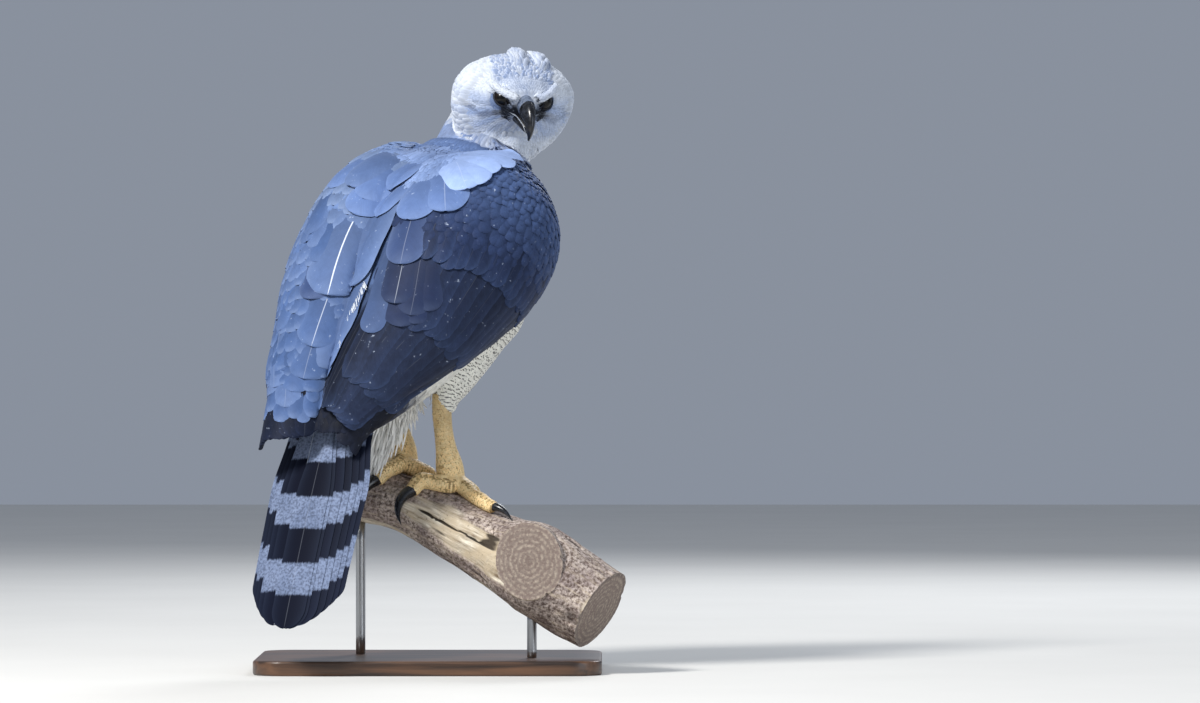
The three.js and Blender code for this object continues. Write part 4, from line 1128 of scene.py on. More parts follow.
whole_wing = Surface(wing_at, (0.1, 7.6), (-1.6, 1.6), WHOLE)
for side, name in SIDES:
    surface = on_wing[side]
    coat, quills = Coat(), Coat()
    for number, (first, last, count, width, high, grid) in enumerate(TIERS):
        t0, a0, t1, a1 = mix(*(np.array(end)[:, None] for end in (first, last)), np.linspace(0, 1, count))
        if side < 0 and number == 0:
            t1 = t1 + 0.75
        t1 = t1 + vary(0.06, count)
        a0, a1 = side * np.radians(a0 + vary(0.8, count)), side * np.radians(a1 + vary(1.2, count))
        length, aim = reach(surface, t0, a0, t1, a1)
        # Every tier of the right wing is blackish, painted shade; on the left only the first, whose black is
        # its own
        dark = side > 0 or number == 0
        tint = wing_tint(1 if dark else side, t1 + (1.0 if number < 2 and dark else 0), a1)
        tint = tint * uneven(0.22, (count, 1))
        if number == 0:
            tint = tint * (mix(0.45, 1.3, ramp(10, 34, np.degrees(a1)))[:, None] if side > 0 else 0.4)
        (quills if number < 2 else coat).grow(
            surface, t0, a0, length, width, tint, grid=grid, aim=aim, low=-1.5,
            high=high + vary(0.4, count), camber=0.03, tilt=side * 0.08,
            edge=TINTS["shoulder"] if side > 0 else TINTS["slate"] if dark else TINTS["mantle"], rim=0.4,
            tip=0.2, dark=0.1, shaft=0.06 * rng.random(count), round_tip=1.7, ragged=0.02
        )
    for span, gap, size in COVERTS:
        t, a = rows_of(surface, span, gap, (math.radians(20), math.radians(122)))
        _, upper, lower = wing_edges(t)
        # The scapulars of the right side lie over the wing's inner edge
        inner = np.interp(t, (0.4, 1.0, 1.5, 2.1), (62, 52, 42, 34))
        bare = (side > 0) & (t < 2.1) & (np.degrees(a) < inner)
        t, a = keep((np.degrees(a) < lower + 4) & (np.degrees(a) > upper) & ~bare, t, a)
        a = side * a
        tint = wing_tint(side, t, a) * (1.1 + vary(0.12, (len(t), 1)))
        # On the right wing each covert's rim and tip darken to the wing's black, painted shade in the gaps
        # between them
        coat.grow(
            surface, t, a, size[0] * uneven(0.1, len(t)), size[1], tint, grid=(6, 4),
            turn=side * np.radians(-3) + vary(0.1, len(t)), low=-1.0, high=3.0 + vary(0.3, len(t)),
            thick=0.25, camber=0.06, tilt=side * 0.03,
            edge=TINTS["wing"] if side > 0 else TINTS["mantle_deep"], rim=0.3, tip=0.45, dark=-0.15,
            round_tip=1.1
        )
    if side < 0:
        t, a = rows_of(surface, (0.9, 5.3), (21, 17), (math.radians(4), math.radians(66)))
        tint = wing_tint(side, t, -a) * uneven(0.08, (len(t), 1))
        coat.grow(
            surface, t, -a, 56 * uneven(0.1, len(t)), 34, tint, grid=(8, 6), turn=vary(0.08, len(t)),
            low=-1.0, high=3.6 + vary(0.4, len(t)), camber=0.04, edge=TINTS["edge"], rim=0.15, tip=0.2,
            dark=0.1, round_tip=1.1, ragged=0.015
        )
    quills.piece(f"wing_quills_{name}", "dark_plumage", NAVY, f"wing_{name}")
    # The right wing's coverts take the blackish material and the left's the blue-grey one: painted shade and
    # light
    coat.piece(f"wing_coverts_{name}", "dark_plumage", NAVY if side > 0 else BLUE_GREY)

mantle = Coat()
t, a = rows_of(whole_wing, (0.3, 2.0), (6.0, 5.6), (math.radians(-44), math.radians(64)))
aside = np.abs(np.degrees(a))
t, a = keep((t > 0.3 + 0.2 * ramp(20, 32, aside)) & ((a < math.radians(46)) | (t < 1.1)), t, a)
down = ramp(0.3, 0.9, t)
patchy = 0.4 + 0.4 * noise(whole_wing.sample(t, a)[0], 18.0, 2)
patchy = mix(TINTS["mantle"], TINTS["sky"], patchy[:, None])
mantle.grow(
    whole_wing, t, a, 24 * uneven(0.15, len(t)), 9.5, patchy * uneven(0.08, (len(t), 1)),
    turn=vary(0.2, len(t)), low=mix(-7.0, 0.5, down), high=mix(-4.6, 2.6, down) + vary(0.3, len(t)),
    thick=0.25, camber=0.06, edge=TINTS["edge"], rim=0.12, tip=0.15, dark=0.1, round_tip=1.2
)
rows = np.array([row[:6] for row in SCAPULARS], float)
t0, a0, t1, a1 = rows[:, 0], np.radians(rows[:, 1]), rows[:, 2], np.radians(rows[:, 3])
length, aim = reach(whole_wing, t0, a0, t1, a1)
dusky = np.array([row[6] in ("slate", "shoulder") for row in SCAPULARS])
mantle.grow(
    whole_wing, t0, a0, length, rows[:, 4],
    np.array([TINTS[row[6]] for row in SCAPULARS]) * uneven(0.05, (len(rows), 1)), grid=(20, 12), aim=aim,
    low=-1.0, high=rows[:, 5] * 0.62, thick=0.6, camber=0.04, drop=0.2, edge=TINTS["edge"],
    rim=np.where(dusky, 0.03, 0.14), tip=np.where(dusky, 0.05, 0.1), dark=0.08,
    shaft=np.array([row[7] for row in SCAPULARS]), root=0.7, ragged=0.012, sway=vary(0.05, len(rows))
)
mantle.piece("scapular_feathers", "slate_plumage", BLUE_GREY)
fringe = Coat()
count = 130
line = share(FRINGE, rng.random(count))
fringe.grow(
    whole_wing, line[:, 0], np.radians(line[:, 1] + 0.5), 10 + vary(4, count), 0.9, TINTS["white"],
    turn=0.7 + vary(0.15, count), low=2.5, high=3.0 + vary(1.0, count), thick=0.3, round_tip=3.0, rim=0,
    tip=0, dark=0, sway=vary(0.3, count)
)
fringe.piece("scapular_fringe", "white_plumage", DOWN)


# Tail: twelve quills side by side, with pale bars

TAIL_ROOT = trunk.middle(np.array(6.0))
TAIL_TIP = np.array((-166, -215, 66))
TAIL_DOWN = unit(TAIL_TIP - TAIL_ROOT)
yaw = math.radians(25)
TAIL_SIDE = np.array((math.cos(yaw), -math.sin(yaw), 0))
TAIL_SIDE = unit(TAIL_SIDE - TAIL_DOWN * (TAIL_SIDE @ TAIL_DOWN))
TAIL_TOP = np.cross(TAIL_DOWN, TAIL_SIDE)


def on_tail(down, across, up):
    down, across, up = (np.asarray(v, float)[..., None] for v in (down, across, up))
    return TAIL_ROOT + down * TAIL_DOWN + across * TAIL_SIDE + up * TAIL_TOP


# Millimetres from one pale bar to the next, and from the tip to where the lowest begins
BAR_PITCH, FIRST_BAR = 88, 43


def tail_material():
    """Tail quills: navy black with three broad bars of mottled pale grey, brushed along the barbs."""
    made, tree = material("barred_tail_quill")
    tint = add(tree, "Attribute", attribute_name="tint")
    part = split(tree, stored(tree, "vane"))
    place = here(tree)
    strand = add(tree, "CombineXYZ", {0: part[2], 1: times(tree, part[1], 14.0)}).outputs[0]
    strand = stretched(tree, strand, (0.07, 1, 1))
    brush = cloudy(tree, strand, 1.0, 4)
    fine = cloudy(tree, place, 1 / 0.003, 4)
    cloud = cloudy(tree, place, 1 / 0.03, 3)
    shift = maths(tree, "MULTIPLY_ADD", brush, 7.0, part[2])
    shift = maths(tree, "MULTIPLY_ADD", cloud, 6.0, shift)
    # Distance from the tip is counted down from 0, and the noise adds half of its 13 mm on average
    turns = maths(tree, "MULTIPLY_ADD", shift, -2 * PI / BAR_PITCH, -2 * PI * (FIRST_BAR - 6.5) / BAR_PITCH)
    band = remap(tree, maths(tree, "SINE", turns), 0.0, 0.2)
    band = times(tree, band, remap(tree, fine, 0.36, 0.6, 0.5, 1.0))
    pale = blend(tree, cloud, "#586683", "#8f9dbb")
    shown = blend(tree, band, tint.outputs["Color"], pale)
    line = strip(tree, part[1], tint.outputs["Alpha"], 0.012, 0.035, interpolation_type="SMOOTHSTEP")
    shown = blend(tree, line, shown, "#c7cfdd")
    bump = bumped(tree, brush, 0.25, 0.0004)
    return finished(
        made, {"Base Color": shown, "Roughness": 0.65, "Specular IOR Level": 0.07, "Normal": bump}
    )


QUILL_LENGTH = 268
# Place across and depth of each quill, from the left, in millimetres
QUILLS = [
    (-52, 8.5), (-46, 7), (-39, 5.5), (-30, 4), (-19, 2.2), (2, 0), (7, 1.4), (20, 3), (30, 4.7), (39, 6.2),
    (46, 7.6), (53, 9)
]
across_tail, sunk = (column[:, None] for column in np.array(QUILLS, float).T)
splay = across_tail * math.radians(-0.03)


def quill(x, y, h):
    """Each quill turned by its splay, lying in a shallow roof that droops towards the tip."""
    down = 6 + x * np.cos(splay) - y * np.sin(splay)
    across = -9 + across_tail * 0.9 + x * np.sin(splay) + y * np.cos(splay)
    return on_tail(down, across, h + 5 - sunk - across**2 / 500 - x**2 / 8000)


count = len(QUILLS)
length = QUILL_LENGTH * (1 - 0.15 * (across_tail[:, 0] / QUILLS[-1][0]) ** 2)
tail = Coat()
tail.grow(
    None, np.arange(count), np.arange(count), length, 46,
    colour("#0d1224") * (1.0 + vary(0.15, (count, 1))), grid=(40, 10), low=0, high=0, thick=0.9,
    camber=0.03, round_tip=1.1, root=0.5, drop=0, edge=TINTS["cheek"], rim=0.03, tip=0.0, dark=0.1,
    shaft=np.where(np.arange(count) == 4, 0.7, 0.08), ragged=0.01, place=quill, patch=(0.06, 0.9),
    origin=length + vary(7, count)
)
tail.piece("tail_quills", "barred_plumage", tail_material(), "tail")


# Ruff and crest

ruff = Coat()
# Rows of the ruff, with every other one half a feather aside: t, lift, length and shift
RUFF_ROWS = [(5.1, 1.2, 18, 0), (4.75, 1.6, 22, 0.5), (4.35, 2.0, 26, 0), (3.9, 2.2, 28, 0.5)]
for t0, high, size, shift in RUFF_ROWS:
    count = 66
    a = np.radians(-128 + 256 * (np.arange(count) + shift) / (count - 1)) + vary(0.03, count)
    a = a[np.abs(a) > 0.55]
    count = len(a)
    roots = head_surface.sample(np.full(count, t0), a)[0]
    ruff.grow(
        head_surface, t0 + vary(0.12, count), a, size * uneven(0.15, count), 8.5 + vary(1.5, count),
        mix(head_tint(roots), TINTS["white"], 0.5) * (0.98 + vary(0.03, (count, 1))), grid=(8, 4),
        turn=PI + vary(0.2, count), high=high + vary(0.6, count), thick=0.2, camber=0.06,
        edge=TINTS["white"], rim=0.3, tip=0.3, dark=0.14, settle=settle, tilt=vary(0.06, count), ragged=0.04
    )
# The crest is folded: two low tufts on top of the hood, of long feathers with dusky middles
for middle in (0, 21):
    count = 110
    s, q = rng.uniform(-1, 1, (2, count))
    ruff.grow(
        head_surface, 4.3 + 0.6 * q - 0.25 * np.abs(s), np.radians(middle + 7.5 * s), 22 + vary(5, count),
        6.0 + vary(1.2, count), mix(TINTS["crown"], TINTS["white"], 0.25 + 0.6 * rng.random((count, 1))),
        grid=(7, 4), turn=PI + 0.1 * s + vary(0.2, count),
        high=14 * (1 - 0.5 * s * s) * (1 - np.where(q < 0, 0.9, 0.5) * q * q) + vary(1.0, count), thick=0.3,
        camber=0.1, edge=TINTS["white"], rim=0.35, tip=0.4, dark=0.3, round_tip=1.2, ragged=0.04,
        settle=settle
    )
ruff.piece("crest_and_ruff", "pale_plumage", DOWN)

# Lores: fine dark bristles that point forward and down over the base of the bill
bristles = Coat()
for hand in (1, -1):
    count = 260
    t = rng.uniform(5.9, 7.3, count)
    a = hand * rng.uniform(0.55, 2.3, count)
    points = head_surface.sample(t, a)[0]
    line = to_line(points, on_head(36, hand * 22, 7), on_head(38, hand * 22, -7))
    t, a = keep((line < 8) & (np.linalg.norm(points - eye_at(hand), axis=-1) > 12.5), t, a)
    bristles.grow(
        head_surface, t, a, 9 + vary(2.5, len(t)), 1.0, TINTS["lore"] * uneven(0.3, (len(t), 1)),
        turn=vary(0.5, len(t)) + hand * 0.6, low=-0.5, high=2.0 + vary(0.8, len(t)), thick=0.3,
        round_tip=6.0, drop=0, sway=vary(1.0, len(t)), dark=0, rim=0, tip=0
    )
bristles.piece("lore_bristles", "cere_skin", DOWN)

# Skin of the whole body takes its colours from the feathers that grow on it
coats = (*hood, brows, nape, body, mantle, *thigh_coats)
roots = np.concatenate([root for coat in coats for root in coat.roots])
near = KDTree(len(roots))
for i, p in enumerate(roots[:, :3]):
    near.insert(p, i)
near.balance()
nearest = [near.find(p)[1] for p in skin_places]
skin_tint = np.concatenate([roots[nearest, 3:] * 0.8, np.zeros((len(nearest), 1))], -1)
attribute(skin_mesh, "tint", skin_tint)
upright = skin_places[:, 2]
attribute(skin_mesh, "vane", np.stack([upright, np.full(len(nearest), 0.5), upright], -1))
piece("skin", skin_mesh, "slate_plumage", SLATE, "torso", "neck", "head", "thigh_left", "thigh_right")


# Eyes, lids, bill and cere


def eye_material():
    """A wet eye: near-black brown iris and pupil under a clear cornea with one small sharp highlight."""
    made, tree = material("dark_wet_eye")
    ring = stored(tree, "ring")
    part = split(tree, ring)
    spokes = cloudy(tree, ring, 9.0, 3)
    iris = blend(tree, spokes, "#0b0705", "#1c120c")
    pupil = remap(tree, part[2], 0.84, 0.87)
    shown = blend(tree, pupil, iris, "#030303")
    limbus = remap(tree, part[2], 0.62, 0.7, 1.0, 0.0)
    shown = blend(tree, limbus, shown, "#0b0807")
    cornea = {"Coat Weight": 0.32, "Coat Roughness": 0.03, "IOR": 1.38}
    return finished(made, {"Base Color": shown, "Roughness": 0.3, "Specular IOR Level": 0.2, **cornea})


def bare_skin(name, base, spot, cell, rough):
    """Bare scaly or waxy skin: uneven colour, small raised cells and a dull shine."""
    made, tree = material(name)
    place = here(tree)
    cloud = cloudy(tree, place, 1 / 0.008, 5)
    cells = add(tree, "TexVoronoi", {"Vector": place, "Scale": 1 / cell}, feature="DISTANCE_TO_EDGE")
    raised = remap(tree, cells.outputs[0], 0.0, 0.18, interpolation_type="SMOOTHSTEP")
    shown = blend(tree, remap(tree, cloud, 0.38, 0.68), base, spot)
    shown = scaled(tree, shown, remap(tree, raised, 0.0, 1.0, 0.8, 1.0))
    bump = bumped(tree, raised, 0.45, 0.0005)
    return finished(
        made, {"Base Color": shown, "Roughness": rough, "Specular IOR Level": 0.4, "Normal": bump}
    )


def horn(name, base, worn):
    """Polished black horn: long fine growth lines and a tight highlight, slightly scuffed."""
    made, tree = material(name)
    cloud = cloudy(tree, here(tree), 1 / 0.006, 5)
    shown = blend(tree, remap(tree, cloud, 0.5, 0.75), base, worn)
    rough = remap(tree, cloud, 0.0, 1.0, 0.16, 0.36)
    bump = bumped(tree, cloud, 0.15, 0.0003)
    return finished(made, {"Base Color": shown, "Roughness": rough, "IOR": 1.56, "Normal": bump})


EYE_LOOK = eye_material()
LID_SKIN = bare_skin("grey_lid_skin", "#151820", "#2b3140", 0.0009, 0.5)
CERE_SKIN = bare_skin("waxy_grey_cere", "#4b566b", "#7f8ca3", 0.0012, 0.3)
BLACK_HORN = horn("black_horn", "#0c0d11", "#2a2e38")
LEG_SKIN = bare_skin("ochre_scaly_skin", "#c9ab74", "#8d7044", 0.0026, 0.6)


def ring_shell(profile, around, frame_of):
    """A closed ring: a closed profile of places for each angle round an axis."""
    angle = ring_angles(around)
    points = np.stack([frame_of(a, profile(a)) for a in angle])
    count, each = points.shape[:2]
    i, j = np.meshgrid(np.arange(count), np.arange(each), indexing="ij")
    corner = lambda di, dj: ((i + di) % count * each + (j + dj) % each).ravel()
    quads = np.stack([corner(0, 0), corner(0, 1), corner(1, 1), corner(1, 0)], -1)
    points, faces = points.reshape(-1, 3), np.concatenate([quads[:, [0, 1, 2]], quads[:, [0, 2, 3]]])
    return points, facing_out(points, faces)


for hand, name in ((1, "left"), (-1, "right")):
    out, centre = gaze(hand), eye_at(hand)
    inward = unit(FACE - out * (FACE @ out))
    upward = np.cross(out, inward) * (1 if np.cross(out, inward) @ CROWN > 0 else -1)
    sight, angle = np.meshgrid(np.linspace(0.001, PI - 0.001, 40), ring_angles(56), indexing="ij")
    bulge = EYE["radius"] * (1 + 0.05 * np.exp(-((sight / 0.55) ** 2)))
    flat = np.cos(angle)[..., None] * inward + np.sin(angle)[..., None] * upward
    normal = np.cos(sight)[..., None] * out + np.sin(sight)[..., None] * flat
    points, faces = shell(centre + normal * bulge[..., None])
    data = mesh_of(f"eyeball_{name}", points, faces)
    rel = unit(points - centre)
    attribute(data, "ring", np.stack([rel @ inward, rel @ upward, rel @ out], -1))
    piece(f"eyeball_{name}", data, "eye", EYE_LOOK, f"eye_{name}")

    def profile(angle):
        gap = opening(angle)
        sights = [gap, gap + 0.02, gap + 0.1, gap + 0.3, 1.75, 1.75, gap + 0.3, gap + 0.05]
        radii = [12.8, 13.5, 14.0, 14.2, 13.6, 12.0, 12.3, 12.5]
        return list(zip(sights, radii))

    def frame_of(angle, rows):
        flat = math.cos(angle) * inward + math.sin(angle) * upward
        return np.array([centre + r * (math.cos(s) * out + math.sin(s) * flat) for s, r in rows])

    lids = solid(f"lids_{name}", ring_shell(profile, 72, frame_of), "cere_skin", LID_SKIN)
    smooth = lids.modifiers.new("rounded", "SUBSURF")
    smooth.levels = smooth.render_levels = 1

BILL = [
    (30, 7, 12.0, 11, 13), (43, 7.0, 10.0, 11, 12), (54, 5.0, 9.8, 11.5, 12), (64, 1.5, 8.2, 11, 10),
    (73, -6, 6.4, 8.5, 7.5), (78, -14, 4.4, 5.5, 5), (80, -21, 2.3, 2.5, 2.5), (79, -26.5, 0.8, 0.8, 0.8)
]
LOWER_BILL = [
    (28, -13, 16, 8, 8), (42, -12.5, 12.5, 8, 8), (53, -14.5, 9, 7, 7), (62, -17.5, 5.5, 5, 5),
    (68, -20.5, 1.6, 1.5, 1.5)
]
RIDGE = 0.32
bill = head_form(BILL)


def bill_shell(t0, t1, rows, grow):
    """The upper bill's horn: narrow along its ridge, with cutting edges that curve down before the hook."""
    t, angle = np.linspace(t0, t1, rows)[:, None], ring_angles(64)[None]
    top = np.maximum(np.cos(angle), 0)
    edge = np.exp(-(((np.abs(np.abs(angle - PI) - 0.62 * PI / 2)) / 0.3) ** 2))
    swell = 0.9 * edge * np.exp(-(((t - 3.0) / 0.7) ** 2))
    return shell(bill.raised(t, angle, grow - 2.2 * RIDGE * 4 * top * (1 - top) + swell))


solid("bill_horn", bill_shell(1.7, 7, 60, 0.3), "black_horn", BLACK_HORN, "bill_upper")
lower = form_shell(head_form(LOWER_BILL), 0, 4, 36, 48, -0.2)
solid("bill_horn_lower", lower, "black_horn", BLACK_HORN, "bill_lower")

points, faces = bill_shell(0.0, 1.78, 60, 0.9)
for hand in (1, -1):
    hole = on_head(47.5, hand * 15.5, 10.5)
    axes = np.stack([unit(FACE + 0.5 * CROWN), unit(CROWN - 0.5 * FACE), LEFT])
    local = (points - hole) @ axes.T / (5.2, 2.0, 6.0)
    inside = np.clip(1 - np.sqrt((local**2).sum(-1)), 0, 1)
    points = points - hand * LEFT * (5.0 * np.sqrt(inside))[:, None]
solid("cere_cover", (points, faces), "cere_skin", CERE_SKIN, "cere")

# The pale edge of the mouth runs back from the hook to below the eye
MOUTH = [
    (75, 4.0, -18.5), (71, 5.6, -14), (65, 7.6, -10), (58, 9.8, -7.6), (50, 12.0, -6), (43, 16.5, -5.6),
    (36, 23.5, -6.5), (29, 29, -9), (25, 33, -11.5)
]
MOUTH_SKIN = bare_skin("pale_mouth_skin", "#aeb6c2", "#7c8595", 0.0015, 0.35)
thin = lambda u, _: 0.65 * (0.5 + 0.45 * np.sin(PI * np.clip(u, 0.05, 0.95)))
lips = [[on_head(out, hand * left, up) for out, left, up in MOUTH] for hand in (1, -1)]
solid("mouth_edge", joined([tube(lip, 40, 12, thin, CROWN) for lip in lips]), "cere_skin", MOUTH_SKIN)


# The branch: a cut length, with the stub of a sawn limb

# Stations x, z and radius
BRANCH = [
    (-119, 222, 34), (-80, 218, 36), (-38, 210, 36), (4, 193, 38), (42, 173, 41), (84, 152, 46),
    (136, 125, 54), (176, 101, 55), (212, 79, 52)
]


# Seen from above the branch is straight: its y at x = 0, and how much y falls for each step of x
BRANCH_Y, SLOPE = -4, 0.466


def branch_middle(x, z):
    return np.array((x, BRANCH_Y - SLOPE * x, z))


branch = Form([(branch_middle(x, z), r, r, r) for x, z, r in BRANCH], unit(np.array((SLOPE, 1, 0))))
STUB = {"at": branch_middle(138, 131), "radius": 46, "reach": 66, "out": unit(np.array((-0.2, -1, 0.12)))}


def wood_material():
    """Dead branch: grey and cream wood worn bare, scraps of purple-brown bark, painted shade in the cracks,
    sawn ends.
    """
    made, tree = material("weathered_branch_wood")
    grain = stored(tree, "grain")
    mark = split(tree, stored(tree, "mark"))
    place = here(tree)
    long = stretched(tree, grain, (0.03, 0.28, 0.28))
    fibre = cloudy(tree, long, 1.0, 6, 0.65)
    blotch = cloudy(tree, place, 1 / 0.035, 5, 0.6)
    speck = cloudy(tree, place, 1 / 0.004, 4, 0.7)
    amount = remap(tree, fibre, 0.36, 0.64)
    bare = blend(tree, amount, "#83715c", "#f7efdd")
    wide = remap(tree, blotch, 0.42, 0.62)
    bare = blend(tree, wide, bare, "#c9b99f")
    dirt = remap(tree, speck, 0.6, 0.7, 0.0, 0.7)
    bare = blend(tree, dirt, bare, "#5b4a3d")
    amount = remap(tree, speck, 0.4, 0.62)
    scaly = blend(tree, wide, "#a59793", "#dccec3")
    crust = blend(tree, amount, "#5f5049", scaly)
    streak = remap(tree, fibre, 0.52, 0.66, 0.0, 0.6)
    crust = blend(tree, streak, crust, "#cbbba6")
    shown = blend(tree, mark[0], bare, crust)
    # Painted shade: places sunk more than 2.2 mm, in cracks and hollows, go near black
    low = remap(tree, mark[2], -3.2, -2.2, 0.92, 0.0)
    shown = blend(tree, low, shown, "#241b17")
    spread = maths(tree, "MULTIPLY_ADD", mark[1], 14.0, speck)
    rings = times(tree, spread, 3.2)
    rings = maths(tree, "SINE", rings)
    rings = remap(tree, rings, -1.0, 1.0)
    sawn = blend(tree, rings, "#857970", "#aa9d8f")
    sawn = blend(tree, amount, "#7a6b64", sawn)
    cut = remap(tree, mark[1], 0.001, 0.01)
    shown = blend(tree, cut, shown, sawn)
    height = maths(tree, "MULTIPLY_ADD", fibre, 0.7, speck)
    bump = bumped(tree, height, 0.7, 0.0016)
    return finished(
        made, {"Base Color": shown, "Roughness": 0.85, "Specular IOR Level": 0.25, "Normal": bump}
    )


WOOD = wood_material()


CAP_STEPS = 8


def capped(rings, grain):
    """Adds rings inside both ends, down to their middles, and marks how far each place is from the pith."""
    count, around = rings.shape[:2]
    caps, marks = [], []
    for ring in (rings[0], rings[-1]):
        middle = ring.mean(0)
        s = np.linspace(1, 0.02, CAP_STEPS)[:, None, None]
        caps.append(middle + (ring - middle) * s)
        marks.append(np.broadcast_to(np.maximum(s[..., 0], 0.02), (CAP_STEPS, around)))
    whole = np.concatenate([caps[0][::-1], rings, caps[1]])
    mark = np.concatenate([marks[0][::-1], np.zeros((count, around)), marks[1]])
    ends = [np.broadcast_to(grain[k][None], (CAP_STEPS, around, 3)) for k in (0, -1)]
    return whole, np.concatenate([ends[0], grain, ends[1]]), mark


def limb_rings(at, length, radius, rows, around):
    u, angle = np.linspace(0, 1, rows)[:, None], ring_angles(around)[None]
    grain = np.stack(np.broadcast_arrays(u * length, radius * np.sin(angle), radius * np.cos(angle)), -1)
    places, out = at(u, angle)
    cracks = noise(grain * (0.03, 0.12, 0.12), 1.0, 3)
    fine = noise(grain * (0.1, 0.4, 0.4), 1.0, 4)
    # Bare wood shows below the right foot, along a long crack, and here and there elsewhere
    x, _, z = np.moveaxis(places, -1, 0)
    worn = ((x - 50) / 88) ** 2 + ((z - 168 + 0.62 * (x - 40)) / 30) ** 2
    worn = worn + 0.7 * noise(grain * (0.02, 0.09, 0.09), 1.0, 5)
    scraps = ramp(-0.5, -0.3, noise(grain * (0.014, 0.03, 0.03), 1.0, 8))
    patches = np.minimum(ramp(0.75, 1.1, worn), scraps)
    crack = np.abs(z - 196 + 0.52 * (x + 5) + 2.5 * noise(grain * 0.09, 1.0, 6))
    split = ramp(2.4, 1.2, crack) * ramp(-20, 0, x) * ramp(84, 60, x) * (
        places[..., 1] < BRANCH_Y - SLOPE * x
    )
    split = split * ramp(-0.7, -0.1, noise(grain * 0.11, 1.0, 12))
    height = 1.6 * noise(places, 34.0, 9) + 1.5 * patches - 2.0 * ramp(0.22, 0.6, cracks)
    height = height + 0.4 * fine - 1.2 - 3.5 * split
    return places + out * height[..., None], grain, height, patches


def wooden(name, rings, grain, height, patches, *nodes):
    whole, grains, mark = capped(rings, grain)
    pad = lambda v: np.concatenate([np.repeat(v[:1], CAP_STEPS, 0), v, np.repeat(v[-1:], CAP_STEPS, 0)])
    points, faces = shell(whole)
    data = mesh_of(name, points, faces)
    last = lambda v: np.concatenate([v.reshape(-1, *v.shape[2:]), v[0, :1], v[-1, :1]])
    attribute(data, "grain", last(grains))
    attribute(data, "mark", np.stack([last(pad(patches)), last(mark), last(pad(height))], -1))
    return piece(name, data, "weathered_wood", WOOD, *nodes)


def on_limb(u, angle):
    t = u * (len(BRANCH) - 1)
    near = np.linalg.norm(branch.at(t, angle) - STUB["at"] - 40 * STUB["out"], axis=-1)
    collar = 7 * ramp(76, 44, near)
    return branch.raised(t, angle, collar), branch.outward(t, angle)


wooden("branch_limb", *limb_rings(on_limb, 370, 45, 300, 200), "perch_branch")


def on_stub(u, angle):
    side = unit(np.cross(STUB["out"], UP))
    over = np.cross(side, STUB["out"])
    out = np.cos(angle)[..., None] * over + np.sin(angle)[..., None] * side
    radius = STUB["radius"] * (1.0 + 0.06 * np.sin(2 * angle + 1) + 0.1 * (1 - u) ** 2)
    centre = STUB["at"] + (u * (STUB["reach"] - 0.5) + 2)[..., None] * STUB["out"]
    return centre + out * (radius - 1)[..., None], out * np.ones_like(u)[..., None]


wooden("branch_stub", *limb_rings(on_stub, STUB["reach"], STUB["radius"], 60, 160))


# Legs: scaly shank and toes, each foot one skin, and smooth hooked claws

SHANK = [
    (-10, 37.5, 346, 12), (-9, 37.3, 316, 12), (-3, 37, 286, 11.5), (4, 37, 262, 13), (9, 37, 244, 17),
    (11, 37, 232, 17)
]
# For each toe t and angle on the branch of three rests, its thick and thin radius, and its claw
TOES = {
    1: {
        "hallux": ([(3.24, -12), (2.64, -32), (2.56, -60)], (11, 9.5), "hook"),
        "inner": ([(3.5, 10), (3.3, 38), (3.2, 68)], (11, 9), "medium"),
        "middle": ([(3.6, 10), (3.65, 44), (3.7, 82)], (10.5, 8.5), "short"),
        "outer": ([(3.7, -4), (4.2, -14), (4.72, -19)], (10.5, 8.5), "side")
    },
    -1: {
        "hallux": ([(1.84, -12), (1.72, -36), (1.6, -60)], (11, 9.5), "long"),
        "inner": ([(1.98, 4), (2.3, 20), (2.5, 52)], (11, 9), "short"),
        "middle": ([(1.86, 10), (1.8, 44), (1.78, 82)], (10.5, 8.5), "short"),
        "outer": ([(1.72, 8), (1.3, 30), (1.0, 56)], (10.5, 8.5), "short")
    }
}
# Length, bend and radius of each claw, then lift and turn aside where they aren't plain
CLAWS = {
    "long": (74, 1.5, 8.2), "hook": (63, 1.5, 8.2, 0.3, -1.1), "medium": (50, 1.25, 7),
    "short": (40, 1.1, 6.2), "side": (36, 1.15, 6)
}


def turned(v, axis, angle):
    held = axis * (axis @ v) * (1 - math.cos(angle))
    return v * math.cos(angle) + np.cross(axis, v) * math.sin(angle) + held


def on_branch(t, degrees, height):
    return branch.raised(np.array(float(t)), np.array(math.radians(degrees)), np.array(float(height)))


def scutes(pitch, length, raised):
    """Overlapping plates across the top of a toe or the front of a shank, a pitch apart."""

    def height(u, angle):
        s = (u * length / pitch) % 1.0
        front = ramp(-0.2, 0.35, np.cos(angle))
        return raised * front * (s**0.6 - 0.6 - 1.2 * ramp(0.86, 1.0, s))

    return height


